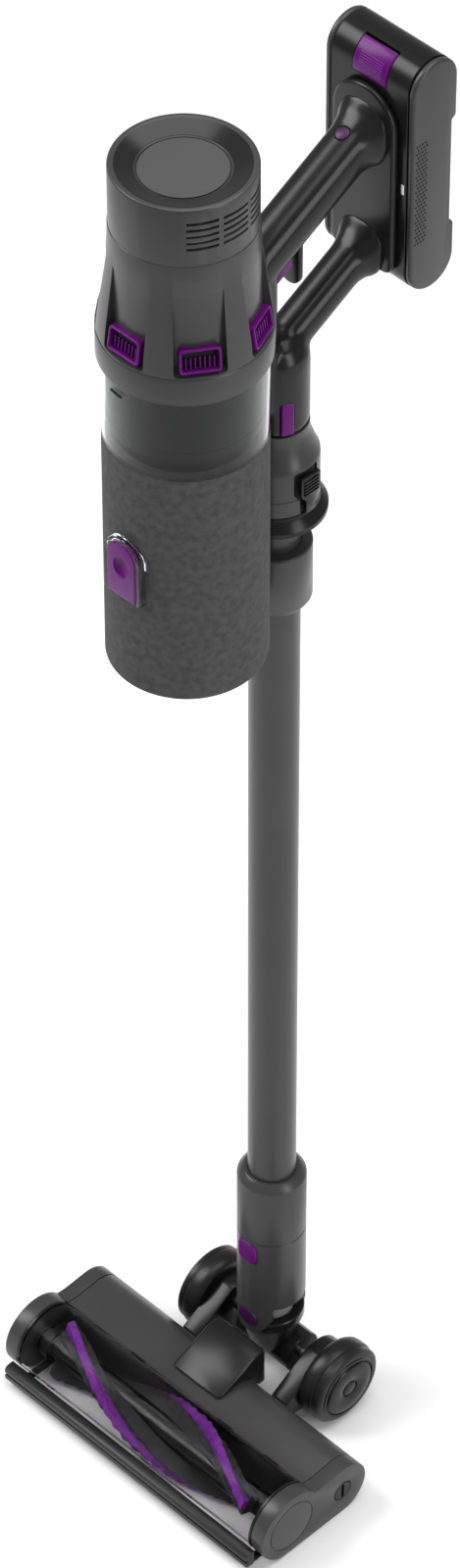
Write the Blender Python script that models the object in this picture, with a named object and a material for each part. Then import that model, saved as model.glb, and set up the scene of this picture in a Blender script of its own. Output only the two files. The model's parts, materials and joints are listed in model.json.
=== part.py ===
"""Cordless stick vacuum: floor head, tilting neck, wand, cyclone bin, motor unit, handle and battery.

Metres, +Z up. The head's long axis is X and the front of the vacuum faces -Y. Every size below is
written about the wand's axis (x = 0, y = 0) and above the floor; the assembly empty then moves the
whole object so that its box stands centred on the origin.
"""
import math

import bmesh
import bpy
from mathutils import Matrix, Vector

GAP = 0.0003                    # between pieces that touch
WALL = 0.0025                   # moulded casings

# wheels, axle and tilting neck
WHEEL_RADIUS = 0.033
WHEEL_FACE = 0.0800             # outer face of the hub cap
WHEEL_WIDTH = 0.0250
AXLE_RADIUS = 0.004
AXLE_Y = 0.0058
SOCKET_RADIUS = 0.0253
SOCKET_LENGTH = 0.070
ROLL_RISE = 0.045               # sideways pivot above the axle
EAR_RADIUS = 0.0155
EAR_THICK = 0.0046
PIN_RADIUS = 0.0035             # sideways pivot's pins

# floor head
HEAD_WIDTH = 0.268
END_CAP = 0.012
SOLE_THICK = 0.0020
LOBE_RADIUS = 0.0295            # casing round the brush
REAR_RADIUS = 0.0235            # casing round the brush motor
LOBE_PITCH = 0.053              # from brush axis to motor axis
HEAD_REACH = 0.0668             # from wheel axle to motor axis
BUMPER_DEPTH = 0.0090
BUMPER_HEIGHT = 0.0145
BRUSH_CORE = 0.0125

# wand
TUBE_RADIUS = 0.0175
TUBE_WALL = 0.0015
WAND_LENGTH = 0.5635            # bare tube between its collars
WAND_FOOT = 0.0611              # lower collar
WAND_COLLAR = 0.0531            # upper collar

# hand unit, measured up from the wand's upper collar
COLUMN_RADIUS = 0.0226
BASE_RADIUS = 0.0295
SKIRT_RADIUS = 0.0351
BRUSH_TRAVEL = 0.022
BIN_OFFSET = 0.0807             # bin and motor axis in front of the wand
BIN_RADIUS = 0.0550
BIN_TAPER = 0.0032
BIN_HEIGHT = 0.1600
LATCH_HEIGHT = 0.0455
CAP_RADIUS = 0.0473
CAP_HEIGHT = 0.0446
HOUSING_HEIGHT = 0.1054
VENT_PITCH = 56                 # degrees between vents
VENT_HALF = 15.0
GRIP_SLOPE = math.radians(28.3)
GRIP_THICK = 0.0325
STRUT_THICK = 0.0265
POST_THICK = 0.0250
BATTERY_WIDTH = 0.0778
BATTERY_DEPTH = 0.0400
BATTERY_HEIGHT = 0.1835
BATTERY_FACE = 0.0823           # front face behind the wand's axis

# places that follow from them
AXLE_Z = WHEEL_RADIUS
ROLL_Z = AXLE_Z + ROLL_RISE
SOCKET_RIM = ROLL_Z + 0.0146
SOCKET_TOP = SOCKET_RIM + SOCKET_LENGTH
FOOT_TOP = SOCKET_TOP + GAP + WAND_FOOT
COLLAR_LOW = FOOT_TOP + WAND_LENGTH
HAND_Z = COLLAR_LOW + WAND_COLLAR
MOTOR_Y = AXLE_Y - HEAD_REACH
MOTOR_Z = REAR_RADIUS
BRUSH_Y = MOTOR_Y - LOBE_PITCH
LOBE_Z = LOBE_RADIUS
BRUSH_TIP = LOBE_RADIUS - 0.0031
BRUSH_Z = BRUSH_TIP + 0.0010
BODY_HALF = HEAD_WIDTH / 2 - END_CAP - GAP
FRONT_Y = BRUSH_Y - LOBE_RADIUS - BUMPER_DEPTH
BACK_Y = BATTERY_FACE + BATTERY_DEPTH
ASSEMBLY_Y = -(FRONT_Y + BACK_Y) / 2
BRISTLE_LOW = HAND_Z + 0.0006
SKIRT_LOW = BRISTLE_LOW + 0.0290
SKIRT_TOP = SKIRT_LOW + 0.0125
BASE_TOP = SKIRT_TOP + 0.0640
LID_LOW = HAND_Z + 0.0387
LID_TOP = LID_LOW + 0.0152
BIN_LOW = LID_TOP + 0.0011
BIN_TOP = BIN_LOW + BIN_HEIGHT
HOUSING_TOP = BIN_TOP + GAP + HOUSING_HEIGHT
CAP_LOW = HOUSING_TOP + GAP
CAP_TOP = CAP_LOW + CAP_HEIGHT
BIN_FOOT = BIN_RADIUS - BIN_TAPER
HOUSING_WAIST = CAP_RADIUS + 0.0047
HOUSING_REACH = max(BIN_RADIUS + 0.0016, HOUSING_WAIST)     # widest radius of the motor housing
VENT_FACE = BIN_RADIUS - 0.0015
VENT_RING = min(CAP_RADIUS + 0.0015, VENT_FACE - 0.0032)    # ring behind the vents, inside the housing
GRIP_Z = HAND_Z + 0.2573        # grip axis above the wand
STRUT_Z = HAND_Z + 0.1631       # strut axis above the wand
POST_Y = -0.0208
DOCK_THICK = 0.0055
TRIGGER_Y = 0.0005
TRIGGER_LONG = 0.0155
GUARD_DROP = 0.0520             # from the grip's axis to the guard's tip
RELEASE_ANGLE = math.radians(65)     # from the front towards the right
POWER_Y = 0.0660
DOCK_HALF = 0.0270
BATTERY_LOW = HAND_Z + 0.1769
BATTERY_Y = BATTERY_FACE + BATTERY_DEPTH / 2
BATTERY_TOP = BATTERY_LOW + BATTERY_HEIGHT


# ---------------------------------------------------------------- helpers

def clear_scene():
    for item in list(bpy.data.objects):
        bpy.data.objects.remove(item, do_unlink=True)


def finish(name, colour, roughness, metallic=0.0, alpha=1.0):
    material = bpy.data.materials.new(name)
    material.use_nodes = True
    shader = material.node_tree.nodes["Principled BSDF"]
    shader.inputs["Base Color"].default_value = (*colour, 1.0)
    shader.inputs["Roughness"].default_value = roughness
    shader.inputs["Metallic"].default_value = metallic
    shader.inputs["Alpha"].default_value = alpha
    return material


def pivot(name, place, parent):
    """An empty on a joint axis; what is parented to it moves about that axis."""
    empty = bpy.data.objects.new(name, None)
    bpy.context.collection.objects.link(empty)
    empty.parent = parent
    origin = Vector((0, 0, 0)) if parent is None else Vector(parent["place"])
    empty.location = Vector(place) - origin
    empty["place"] = place
    return empty


def ride(item, parent):
    """Parent a solid to a pivot and leave it where it was modelled."""
    item.parent = parent
    item.matrix_parent_inverse = Matrix.Translation(-Vector(parent["place"]))


def solid(name, mesh, material, parent):
    bmesh.ops.remove_doubles(mesh, verts=mesh.verts, dist=0.000005)
    bmesh.ops.recalc_face_normals(mesh, faces=mesh.faces)
    data = bpy.data.meshes.new(name)
    mesh.to_mesh(data)
    mesh.free()
    data.shade_smooth()
    data.set_sharp_from_angle(angle=math.radians(32))
    data.materials.append(material)
    item = bpy.data.objects.new(name, data)
    bpy.context.collection.objects.link(item)
    ride(item, parent)
    return item


def lay(axis, centre):
    """The matrix that stands local +Z along the given axis, at the given centre."""
    turn = {"X": Matrix.Rotation(math.pi / 2, 4, "Y"), "Y": Matrix.Rotation(-math.pi / 2, 4, "X"),
            "Z": Matrix.Identity(4)}[axis]
    return Matrix.Translation(centre) @ turn


def turned(name, profile, material, parent, centre=(0, 0, 0), axis="Z", steps=24):
    """Spin a closed outline of (radius, height) points round an axis."""
    mesh = bmesh.new()
    verts = [mesh.verts.new((radius, 0, height)) for radius, height in profile]
    edges = [mesh.edges.new(pair) for pair in zip(verts, verts[1:])]
    if profile[0][0] > 0 or profile[-1][0] > 0:
        edges.append(mesh.edges.new((verts[-1], verts[0])))
    bmesh.ops.spin(mesh, geom=verts + edges, cent=(0, 0, 0), axis=(0, 0, 1), angle=2 * math.pi,
                   steps=steps, use_merge=True)
    bmesh.ops.transform(mesh, matrix=lay(axis, centre), verts=mesh.verts)
    return solid(name, mesh, material, parent)


def ring(inner, outer, low, high):
    return [(outer, high), (outer, low), (inner, low), (inner, high)]


def rod(radius, low, high):
    return [(0, high), (radius, high), (radius, low), (0, low)]


def prism(name, outline, low, high, axis, material, parent):
    """Extrude an outline: (y, z) along X, (x, z) along Y or (x, y) along Z."""
    places = {"X": lambda a, b: (low, a, b), "Y": lambda a, b: (a, low, b), "Z": lambda a, b: (a, b, low)}
    mesh = bmesh.new()
    face = mesh.faces.new([mesh.verts.new(places[axis](*point)) for point in outline])
    grown = bmesh.ops.extrude_face_region(mesh, geom=[face])["geom"]
    step = Vector([(high - low) if letter == axis else 0 for letter in "XYZ"])
    bmesh.ops.translate(mesh, vec=step, verts=[g for g in grown if isinstance(g, bmesh.types.BMVert)])
    return solid(name, mesh, material, parent)


def loft(name, loops, material, parent):
    """Skin a row of closed loops that have the same number of points, and close both ends."""
    mesh = bmesh.new()
    rows = [[mesh.verts.new(point) for point in loop] for loop in loops]
    for near, far in zip(rows, rows[1:]):
        for index in range(len(near)):
            after = (index + 1) % len(near)
            mesh.faces.new((near[index], near[after], far[after], far[index]))
    mesh.faces.new(rows[0][::-1])
    mesh.faces.new(rows[-1])
    return solid(name, mesh, material, parent)


def arc(centre, radius, start, stop, count):
    """Points on an arc, angles in degrees from the first axis towards the second."""
    angles = [math.radians(start + (stop - start) * step / count) for step in range(count + 1)]
    return [(centre[0] + radius * math.cos(a), centre[1] + radius * math.sin(a)) for a in angles]


def rounded(half_width, half_height, radius, centre=(0, 0), count=3):
    """A rectangle with round corners."""
    points = []
    for quarter, (sx, sy) in enumerate(((1, 1), (-1, 1), (-1, -1), (1, -1))):
        corner = (centre[0] + sx * (half_width - radius), centre[1] + sy * (half_height - radius))
        points += arc(corner, radius, quarter * 90, quarter * 90 + 90, count)
    return points


def boolean(target, tool, operation="DIFFERENCE"):
    """Cut the tool from the target, or join it on; the tool is a guide and isn't part of the object."""
    tool.hide_render = True
    tool.display_type = "WIRE"
    modifier = target.modifiers.new(tool.name, "BOOLEAN")
    modifier.operation = operation
    modifier.solver = "EXACT"
    modifier.object = tool


def soften(item, width, segments=2, angle=40):
    modifier = item.modifiers.new("soft edges", "BEVEL")
    modifier.width = width
    modifier.segments = segments
    modifier.limit_method = "ANGLE"
    modifier.angle_limit = math.radians(angle)


# ---------------------------------------------------------------- materials

def make_materials():
    return {
        "body": finish("body_grey", (0.11, 0.11, 0.115), 0.35),
        "dark": finish("charcoal", (0.035, 0.035, 0.038), 0.42),
        "purple": finish("purple", (0.19, 0.01, 0.27), 0.3),
        "clear": finish("clear", (0.8, 0.82, 0.83), 0.05, alpha=0.3),
        "smoke": finish("smoke", (0.35, 0.35, 0.36), 0.05, alpha=0.35),
        "rubber": finish("rubber", (0.02, 0.02, 0.022), 0.7),
        "steel": finish("steel", (0.6, 0.6, 0.62), 0.25, metallic=1.0),
        "alloy": finish("motor_alloy", (0.6, 0.6, 0.62), 0.4, metallic=1.0),
        "hose": finish("hose_grey", (0.3, 0.3, 0.31), 0.5),
        "bristle": finish("bristle_black", (0.02, 0.02, 0.02), 0.85),
        "filter": finish("filter_white", (0.85, 0.85, 0.83), 0.9),
        "cell": finish("cell_wrap", (0.05, 0.12, 0.3), 0.45),
        "tube": finish("tube_grey", (0.16, 0.16, 0.165), 0.3, metallic=0.6),
        "light": finish("light_white", (0.95, 0.95, 0.95), 0.2),
        "disc": finish("disc_grey", (0.2, 0.2, 0.205), 0.45),
    }


# ---------------------------------------------------------------- floor head

def head_outline(inset=0.0):
    """Side outline of the head: brush lobe, shallow waist, motor lobe and flat sole."""
    front = (BRUSH_Y, LOBE_Z)
    rear = (MOTOR_Y, MOTOR_Z)
    waist_y = (BRUSH_Y + MOTOR_Y) / 2 + 0.0045
    waist_z = MOTOR_Z + REAR_RADIUS - 0.0012 - inset
    return (arc(front, LOBE_RADIUS - inset, 260, 42, 16) + [(waist_y, waist_z)]
            + arc(rear, REAR_RADIUS - inset, 95, -80, 12))


def head_shell(m, head):
    """Casing behind the brush, its bay open at the bottom for the brush motor and belt."""
    front = (BRUSH_Y, LOBE_Z)
    rear = (MOTOR_Y, MOTOR_Z)
    chamber = BRUSH_TIP + 0.0012
    waist_y = (BRUSH_Y + MOTOR_Y) / 2 + 0.0045
    waist_z = MOTOR_Z + REAR_RADIUS - 0.0012
    low = SOLE_THICK + GAP
    nose = arc(front, LOBE_RADIUS, 42, 36, 1)
    outer = nose + [(waist_y, waist_z)] + arc(rear, REAR_RADIUS, 95, -62, 11)
    inside = arc(rear, REAR_RADIUS - WALL, -62, 150, 11)
    chamber_wall = arc((BRUSH_Y, BRUSH_Z), chamber, -40, 44, 6)
    outline = outer + inside + [(BRUSH_Y + 0.0300, low)] + chamber_wall
    shell = prism("head_shell", outline, -BODY_HALF, BODY_HALF, "X", m["body"], head)
    bore = turned("wheel_arm_cut", rod(AXLE_RADIUS + GAP, -0.1, 0.1), m["dark"], head,
                  (0, AXLE_Y, AXLE_Z), "X", 16)
    for side, name in ((-1, "left"), (1, "right")):
        low_x, high_x = sorted((side * 0.0385, side * (WHEEL_FACE - WHEEL_WIDTH - 0.0010)))
        drum = arc((AXLE_Y, AXLE_Z), 0.0235, -110, 110, 12)
        root = MOTOR_Y + REAR_RADIUS - 0.0012
        reach = [(root, AXLE_Z - 0.0005), (root, MOTOR_Z - 0.0060)]
        arm = prism(f"wheel_arm_{name}", drum + reach, low_x, high_x, "X", m["dark"], head)
        boolean(shell, arm, "UNION")
    boolean(shell, bore)
    return shell


def head_window(m, head):
    outer = arc((BRUSH_Y, LOBE_Z), LOBE_RADIUS, 200, 43.5, 22)
    inner = arc((BRUSH_Y, LOBE_Z), LOBE_RADIUS - 0.0018, 43.5, 200, 22)
    return prism("brush_window", outer + inner, -BODY_HALF, BODY_HALF, "X", m["smoke"], head)


def end_caps(m, head, lock):
    """Caps that close the head's ends; the right one is held by a coin lock and frees the brush."""
    half = HEAD_WIDTH / 2
    for side, name in ((-1, "end_cap_left"), (1, "end_cap_right")):
        inner = side * (half - END_CAP)
        low, high = sorted((side * half, inner))
        cap = prism(name, head_outline(), low, high, "X", m["body"], head)
        low, high = sorted((inner - side * 0.0010, inner + side * 0.0050))
        boolean(cap, turned(f"{name}_bearing_cut", rod(0.0080 + GAP, low, high), m["dark"], head,
                            (0, BRUSH_Y, BRUSH_Z), "X", 20))
        if side > 0:
            boolean(cap, turned("coin_lock_cut", rod(0.0083 + GAP, half - 0.0050, half + 0.0010), m["dark"],
                                head, (0, MOTOR_Y, MOTOR_Z), "X", 24))
    coin = turned("coin_lock", rod(0.0083, half - 0.0050 + GAP, half), m["dark"], lock,
                  (0, MOTOR_Y, MOTOR_Z), "X", 24)
    slot = prism("coin_slot_cut", rounded(0.0012, 0.0068, 0.0010, (MOTOR_Y, MOTOR_Z), 1),
                 half - 0.0018, half + 0.0010, "X", m["dark"], lock)
    boolean(coin, slot)


def bumper(m, head):
    """Front rail with a groove along it."""
    low = 0.0065
    back = FRONT_Y + BUMPER_DEPTH - 0.0004
    top = low + BUMPER_HEIGHT
    middle = (low + top) / 2
    groove = 0.0012
    rail = [(back, low), (back, top), (FRONT_Y + 0.0030, top), (FRONT_Y, top - 0.0030),
            (FRONT_Y, middle + groove), (FRONT_Y + 0.0030, middle + groove),
            (FRONT_Y + 0.0030, middle - groove), (FRONT_Y, middle - groove),
            (FRONT_Y, low + 0.0020), (FRONT_Y + 0.0020, low)]
    half = HEAD_WIDTH / 2 - 0.0080
    prism("bumper_rail", rail, -half, half, "X", m["rubber"], head)


def sole(m, head):
    """Flat sole round the brush opening; the head stands on it in front and on its wheels behind."""
    front = FRONT_Y + BUMPER_DEPTH + 0.0006
    back = MOTOR_Y + REAR_RADIUS * 0.42
    outline = rounded(BODY_HALF, (back - front) / 2, 0.003, (0, (back + front) / 2))
    plate = prism("sole_plate", outline, 0, SOLE_THICK, "Z", m["dark"], head)
    opening = prism("sole_opening_cut", rounded(BODY_HALF - 0.006, 0.0215, 0.004, (0, BRUSH_Y)),
                    -0.002, SOLE_THICK + 0.002, "Z", m["dark"], head)
    boolean(plate, opening)


def helix_strip(name, inner, outer, start, turn, half_length, thick, m, body):
    """A bristle or felt row wound round the brush core, its loops square to the core."""
    loops = []
    count = 30
    for step in range(count + 1):
        along = -half_length + 2 * half_length * step / count
        angle = start + turn * step / count
        loop = []
        for radius, side in ((inner, -1), (outer, -0.6), (outer, 0.6), (inner, 1)):
            swing = angle + side * thick / 2 / radius
            loop.append((along, BRUSH_Y + radius * math.cos(swing), BRUSH_Z + radius * math.sin(swing)))
        loops.append(loop)
    return loft(name, loops, m, body)


def belt(m, head, shell, low, high):
    """Loop round the two pulleys, its straight runs tangent to both."""
    big, small = 0.0110 + GAP, 0.0055 + GAP
    lean = math.degrees(math.atan2(MOTOR_Z - BRUSH_Z, MOTOR_Y - BRUSH_Y))
    spread = math.degrees(math.acos((big - small) / math.hypot(MOTOR_Z - BRUSH_Z, MOTOR_Y - BRUSH_Y)))

    def loop(extra):
        return (arc((BRUSH_Y, BRUSH_Z), big + extra, lean + spread, lean + 360 - spread, 14)
                + arc((MOTOR_Y, MOTOR_Z), small + extra, lean - spread, lean + spread, 8))

    band = prism("drive_belt", loop(0.0012), low, high, "X", m["rubber"], head)
    boolean(band, prism("belt_inside_cut", loop(0), low - 0.01, high + 0.01, "X", m["rubber"], head))
    boolean(shell, prism("belt_room_cut", loop(0.0030), low - 0.002, high + 0.002, "X", m["rubber"], head))


def brush(m, head, spin, drive, shell):
    half = BODY_HALF
    core = [(0, half - 0.0010), (0.0040, half - 0.0010), (0.0040, half - 0.0050),
            (BRUSH_CORE, half - 0.0050), (BRUSH_CORE, -half + 0.0170), (0.0040, -half + 0.0170),
            (0.0040, -half + 0.0010), (0, -half + 0.0010)]
    turned("brush_core", core, m["dark"], spin, (0, BRUSH_Y, BRUSH_Z), "X", 28)
    reach = half - 0.0180
    for index in range(2):
        start = math.radians(70 + 180 * index)
        helix_strip(f"bristle_row_{index + 1}", BRUSH_CORE + GAP, BRUSH_TIP, start,
                    math.radians(250), reach, 0.0050, m["purple"], spin)
    for side, name in ((-1, "brush_bearing_left"), (1, "brush_bearing_right")):
        inner = HEAD_WIDTH / 2 - END_CAP + 0.0003
        low, high = sorted((side * inner, side * (inner + 0.0042)))
        turned(name, ring(0.0040 + GAP, 0.0080, low, high), m["steel"], head, (0, BRUSH_Y, BRUSH_Z), "X", 24)
    pulley_x = -half + 0.0040
    turned("brush_pulley", ring(0.0040 + GAP, 0.0110, pulley_x, pulley_x + 0.0110), m["dark"], spin,
           (0, BRUSH_Y, BRUSH_Z), "X", 28)
    pulley = [(0, pulley_x + 0.0200), (0.0015, pulley_x + 0.0200), (0.0015, pulley_x + 0.0110),
              (0.0055, pulley_x + 0.0110), (0.0055, pulley_x), (0, pulley_x)]
    turned("motor_pulley", pulley, m["steel"], drive, (0, MOTOR_Y, MOTOR_Z), "X", 20)
    belt(m, head, shell, pulley_x + 0.0020, pulley_x + 0.0090)
    turned("brush_motor", [(0, 0), (0.0145, 0), (0.0145, 0.0560), (0, 0.0560)], m["alloy"], head,
           (pulley_x + 0.0210, MOTOR_Y, MOTOR_Z), "X", 28)


# ---------------------------------------------------------------- neck and wheels

def neck(m, head):
    """Fixed duct from the head towards the axle, with its sloping shield, and the axle itself."""
    half = 0.0205
    top_back = ROLL_Z - 0.0135
    front_y = MOTOR_Y - 0.0220
    front_z = MOTOR_Z + REAR_RADIUS + 0.0006
    back_y = AXLE_Y - 0.0350
    slope = (top_back - front_z) / (back_y - front_y)
    shield = [(front_y, front_z), (back_y, top_back), (back_y, top_back - 0.0030),
              (front_y + 0.0040, front_z - 0.0030 + slope * 0.0040 + 0.0006)]
    prism("neck_shield", shield, -half, half, "X", m["dark"], head)
    under = (arc((MOTOR_Y, MOTOR_Z), REAR_RADIUS + 0.0008, 98, 20, 6)
             + [(back_y, AXLE_Z + 0.0020), (back_y, top_back - 0.0040)])
    prism("neck_duct", under, -half + 0.0035, half - 0.0035, "X", m["body"], head)
    turned("wheel_axle", rod(AXLE_RADIUS, -WHEEL_FACE + 0.0080, WHEEL_FACE - 0.0080), m["steel"], head,
           (0, AXLE_Y, AXLE_Z), "X", 20)


def wheel(m, side, name, body):
    """Tyre and hub with its cap; heights run outwards from the wheel's inner face."""
    inner_face = WHEEL_FACE - WHEEL_WIDTH
    r = WHEEL_RADIUS
    rim = r - 0.0100
    tyre = [(r - 0.0060, WHEEL_WIDTH - 0.0030), (r - 0.0030, WHEEL_WIDTH - 0.0048), (r, WHEEL_WIDTH - 0.0090),
            (r, 0.0060), (r - 0.0030, 0.0010), (r - 0.0060, 0), (rim, 0), (rim, WHEEL_WIDTH - 0.0030)]
    hub = [(AXLE_RADIUS + GAP, 0.0015), (rim - GAP, 0.0015), (rim - GAP, WHEEL_WIDTH - 0.0030 + GAP),
           (r - 0.0065, WHEEL_WIDTH - 0.0030 + GAP), (r - 0.0065, WHEEL_WIDTH - 0.0014),
           (r - 0.0085, WHEEL_WIDTH - 0.0006), (0, WHEEL_WIDTH), (0, WHEEL_WIDTH - 0.0060),
           (AXLE_RADIUS + GAP, WHEEL_WIDTH - 0.0060)]
    for piece, outline, material in (("tyre", tyre, "rubber"), ("hub", hub, "body")):
        placed = [(radius, side * (inner_face + height)) for radius, height in outline]
        turned(f"{piece}_{name}", placed, m[material], body, (0, AXLE_Y, AXLE_Z), "X", 28)


def yoke(m, tilt):
    """Cup that tilts on the axle and carries the sideways pivot."""
    wide = SOCKET_RADIUS - 0.0008
    bore = SOCKET_RADIUS - 0.0075
    rim = ROLL_Z - 0.0035
    floor = AXLE_Z + 0.0070
    cup = turned("yoke", [(0, rim), (wide, rim), (wide, rim - 0.0090), (wide - 0.0080, floor - 0.0100),
                          (0, floor - 0.0100)], m["dark"], tilt, (0, 0, 0), "Z", 28)
    knuckle = turned("yoke_knuckle", rod(0.0165, -0.0270, 0.0270), m["dark"], tilt, (0, AXLE_Y, AXLE_Z),
                     "X", 24)
    boolean(cup, knuckle, "UNION")
    ear_inner = SOCKET_RADIUS - EAR_THICK
    outline = arc((0, ROLL_Z), 0.0110, 0, 180, 10) + [(-0.0110, rim - 0.0040), (0.0110, rim - 0.0040)]
    tongue = prism("yoke_tongue", outline, -ear_inner + GAP, ear_inner - GAP, "Y", m["dark"], tilt)
    boolean(cup, tongue, "UNION")
    duct = turned("yoke_duct_cut", rod(bore, floor + 0.0120, ROLL_Z + 0.0300), m["dark"], tilt, steps=28)
    boolean(cup, duct)
    for side, name in ((-1, "front"), (1, "rear")):
        low, high = sorted((side * (ear_inner - GAP), side * 0.035))
        seat = turned(f"yoke_ear_cut_{name}", rod(EAR_RADIUS + 0.0012, low, high), m["dark"], tilt,
                      (0, 0, ROLL_Z), "Y", 24)
        boolean(cup, seat)
    pin_bore = turned("yoke_pin_cut", rod(PIN_RADIUS + GAP, -0.04, 0.04), m["dark"], tilt,
                      (0, 0, ROLL_Z), "Y", 20)
    boolean(cup, pin_bore)
    axle_bore = turned("yoke_axle_cut", rod(AXLE_RADIUS + GAP, -0.04, 0.04), m["dark"], tilt,
                       (0, AXLE_Y, AXLE_Z), "X", 20)
    boolean(cup, axle_bore)
    hose_low = floor + 0.0125
    ribs = []
    for step in range(5):
        height = hose_low + 0.0068 * step
        ribs += [(0.0150, height + 0.0010), (0.0165, height + 0.0019), (0.0165, height + 0.0045),
                 (0.0150, height + 0.0054)]
    hose = [(0.0130, hose_low + 0.001)] + ribs + [(0.0130, hose_low + 0.0326)]
    turned("flex_hose", hose[::-1], m["hose"], tilt, steps=20)


def socket(m, wand):
    """Lower fitting that the wand plugs into, hung on two ears from the sideways pivot."""
    inner_low = SOCKET_RADIUS - 0.0030
    ear_face = SOCKET_RADIUS - EAR_THICK
    seat = TUBE_RADIUS + GAP
    ear_low = ROLL_Z - EAR_RADIUS
    tip_low = ear_low + 0.0006
    outline = [(SOCKET_RADIUS, SOCKET_TOP), (SOCKET_RADIUS, tip_low), (ear_face - 0.0002, tip_low),
               (ear_face - 0.0002, SOCKET_RIM), (inner_low, SOCKET_RIM + 0.0004),
               (inner_low, SOCKET_RIM + 0.0100),
               (seat - 0.0030, SOCKET_RIM + 0.0140), (seat - 0.0030, SOCKET_RIM + 0.0170),
               (seat, SOCKET_RIM + 0.0170), (seat, SOCKET_TOP)]
    body = turned("head_socket", outline, m["body"], wand, steps=28)
    wide = SOCKET_RADIUS + 0.01
    below = [(wide, SOCKET_RIM), (EAR_RADIUS, SOCKET_RIM)] + arc((0, ROLL_Z), EAR_RADIUS, 0, -180, 14)
    clear_of = ear_low - 0.005
    below += [(-EAR_RADIUS, SOCKET_RIM), (-wide, SOCKET_RIM), (-wide, clear_of), (wide, clear_of)]
    boolean(body, prism("socket_sides_cut", below, -wide, wide, "Y", m["dark"], wand))
    between = prism("socket_ears_cut", rounded(wide, ear_face, 0.0005, count=1), clear_of, SOCKET_RIM, "Z",
                    m["dark"], wand)
    boolean(body, between)
    pin_bore = turned("socket_pin_cut", rod(PIN_RADIUS + GAP, -0.04, 0.04), m["dark"], wand,
                      (0, 0, ROLL_Z), "Y", 12)
    boolean(body, pin_bore)
    for side, name in ((-1, "front"), (1, "rear")):
        face = side * (SOCKET_RADIUS + 0.0004)
        under = side * (SOCKET_RADIUS - 0.0018)
        low, high = sorted((under - side * GAP, side * wide))
        boolean(body, turned(f"pivot_cap_cut_{name}", rod(0.0090 + GAP, low, high), m["dark"], wand,
                             (0, 0, ROLL_Z), "Y", 20))
        tip = side * (SOCKET_RADIUS - 0.0085)
        pin = [(0, face), (0.0080, face), (0.0090, face - side * 0.0008), (0.0090, under),
               (PIN_RADIUS, under), (PIN_RADIUS, tip), (0, tip)]
        turned(f"pivot_pin_{name}", pin, m["purple"], wand, (0, 0, ROLL_Z), "Y", 20)
    return body


def press_button(name, outline, material, host, body):
    """A button in the front wall of its host, with a hole it slides in along Y."""
    front = -SOCKET_RADIUS - 0.0006
    rear = -TUBE_RADIUS - 0.0030
    prism(name, outline, front, rear, "Y", material, body)
    grow = 1 + 2 * GAP / 0.008
    middle = sum(z for _, z in outline) / len(outline)
    spread = [(x * grow, middle + (z - middle) * grow) for x, z in outline]
    boolean(host, prism(name + "_cut", spread, front - 0.0100, rear + 0.0030, "Y", material, host.parent))


# ---------------------------------------------------------------- wand

def wand_pieces(m, wand):
    low = SOCKET_RIM + 0.0173
    turned("wand_tube", ring(TUBE_RADIUS - TUBE_WALL, TUBE_RADIUS, low, SKIRT_TOP + 0.0100), m["tube"], wand,
           steps=32)
    r = SOCKET_RADIUS
    seat = TUBE_RADIUS + GAP
    foot_low = SOCKET_TOP + GAP
    foot = [(seat, FOOT_TOP), (seat + 0.0028, FOOT_TOP), (r, FOOT_TOP - 0.0055), (r, foot_low),
            (seat, foot_low)]
    turned("wand_foot", foot, m["body"], wand, steps=32)
    top = HAND_Z
    collar = [(seat, top), (r - 0.0010, top), (r, top - 0.0010), (r, COLLAR_LOW + 0.0060),
              (seat + 0.0030, COLLAR_LOW), (seat, COLLAR_LOW)]
    return turned("wand_collar", collar, m["body"], wand, steps=28)


def dusting_brush(m, slide):
    """Skirt with bristles that slides down over the wand's collar."""
    bore = SOCKET_RADIUS + 0.0009
    skirt = turned("dusting_skirt", [(BASE_RADIUS, SKIRT_TOP), (SKIRT_RADIUS, SKIRT_LOW + 0.0040),
                                     (SKIRT_RADIUS, SKIRT_LOW), (bore, SKIRT_LOW), (bore, SKIRT_TOP)],
                   m["dark"], slide, steps=32)
    tufts = ring(SKIRT_RADIUS - 0.0062, SKIRT_RADIUS - 0.0027, BRISTLE_LOW, SKIRT_LOW - GAP)
    bristles = turned("dusting_bristles", tufts, m["bristle"], slide, steps=32)
    reach = turned("bin_clear_cut", rod(BIN_FOOT + 0.0015, BRISTLE_LOW - 0.03, BASE_TOP + 0.05), m["dark"],
                   slide, (0, -BIN_OFFSET, 0), "Z", 48)
    boolean(skirt, reach)
    boolean(bristles, reach)
    knob = [(-0.0090, BASE_TOP - 0.0300), (-0.0090, BASE_TOP - 0.0480), (-0.0045, BASE_TOP - 0.0520),
            (-0.0045, SKIRT_TOP + 0.0010), (0.0045, SKIRT_TOP + 0.0010), (0.0045, BASE_TOP - 0.0520),
            (0.0090, BASE_TOP - 0.0480), (0.0090, BASE_TOP - 0.0300)]
    prism("dusting_slider", knob, BASE_RADIUS + GAP, BASE_RADIUS + 0.0045, "X", m["dark"], slide)


def column_base(m, wand):
    seat = TUBE_RADIUS + GAP
    low = SKIRT_TOP + 0.0005
    outline = [(COLUMN_RADIUS, BASE_TOP), (COLUMN_RADIUS, BASE_TOP - 0.0060),
               (BASE_RADIUS, BASE_TOP - 0.0260), (BASE_RADIUS, low), (seat, low), (seat, low + 0.0150),
               (seat - 0.0030, low + 0.0180), (seat - 0.0030, BASE_TOP)]
    base = turned("column_base", outline, m["body"], wand, steps=32)
    reach = turned("base_clear_cut", rod(BIN_FOOT + 0.0030, low - 0.03, BASE_TOP + 0.05), m["dark"], wand,
                   (0, -BIN_OFFSET, 0), "Z", 48)
    boolean(base, reach)


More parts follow.
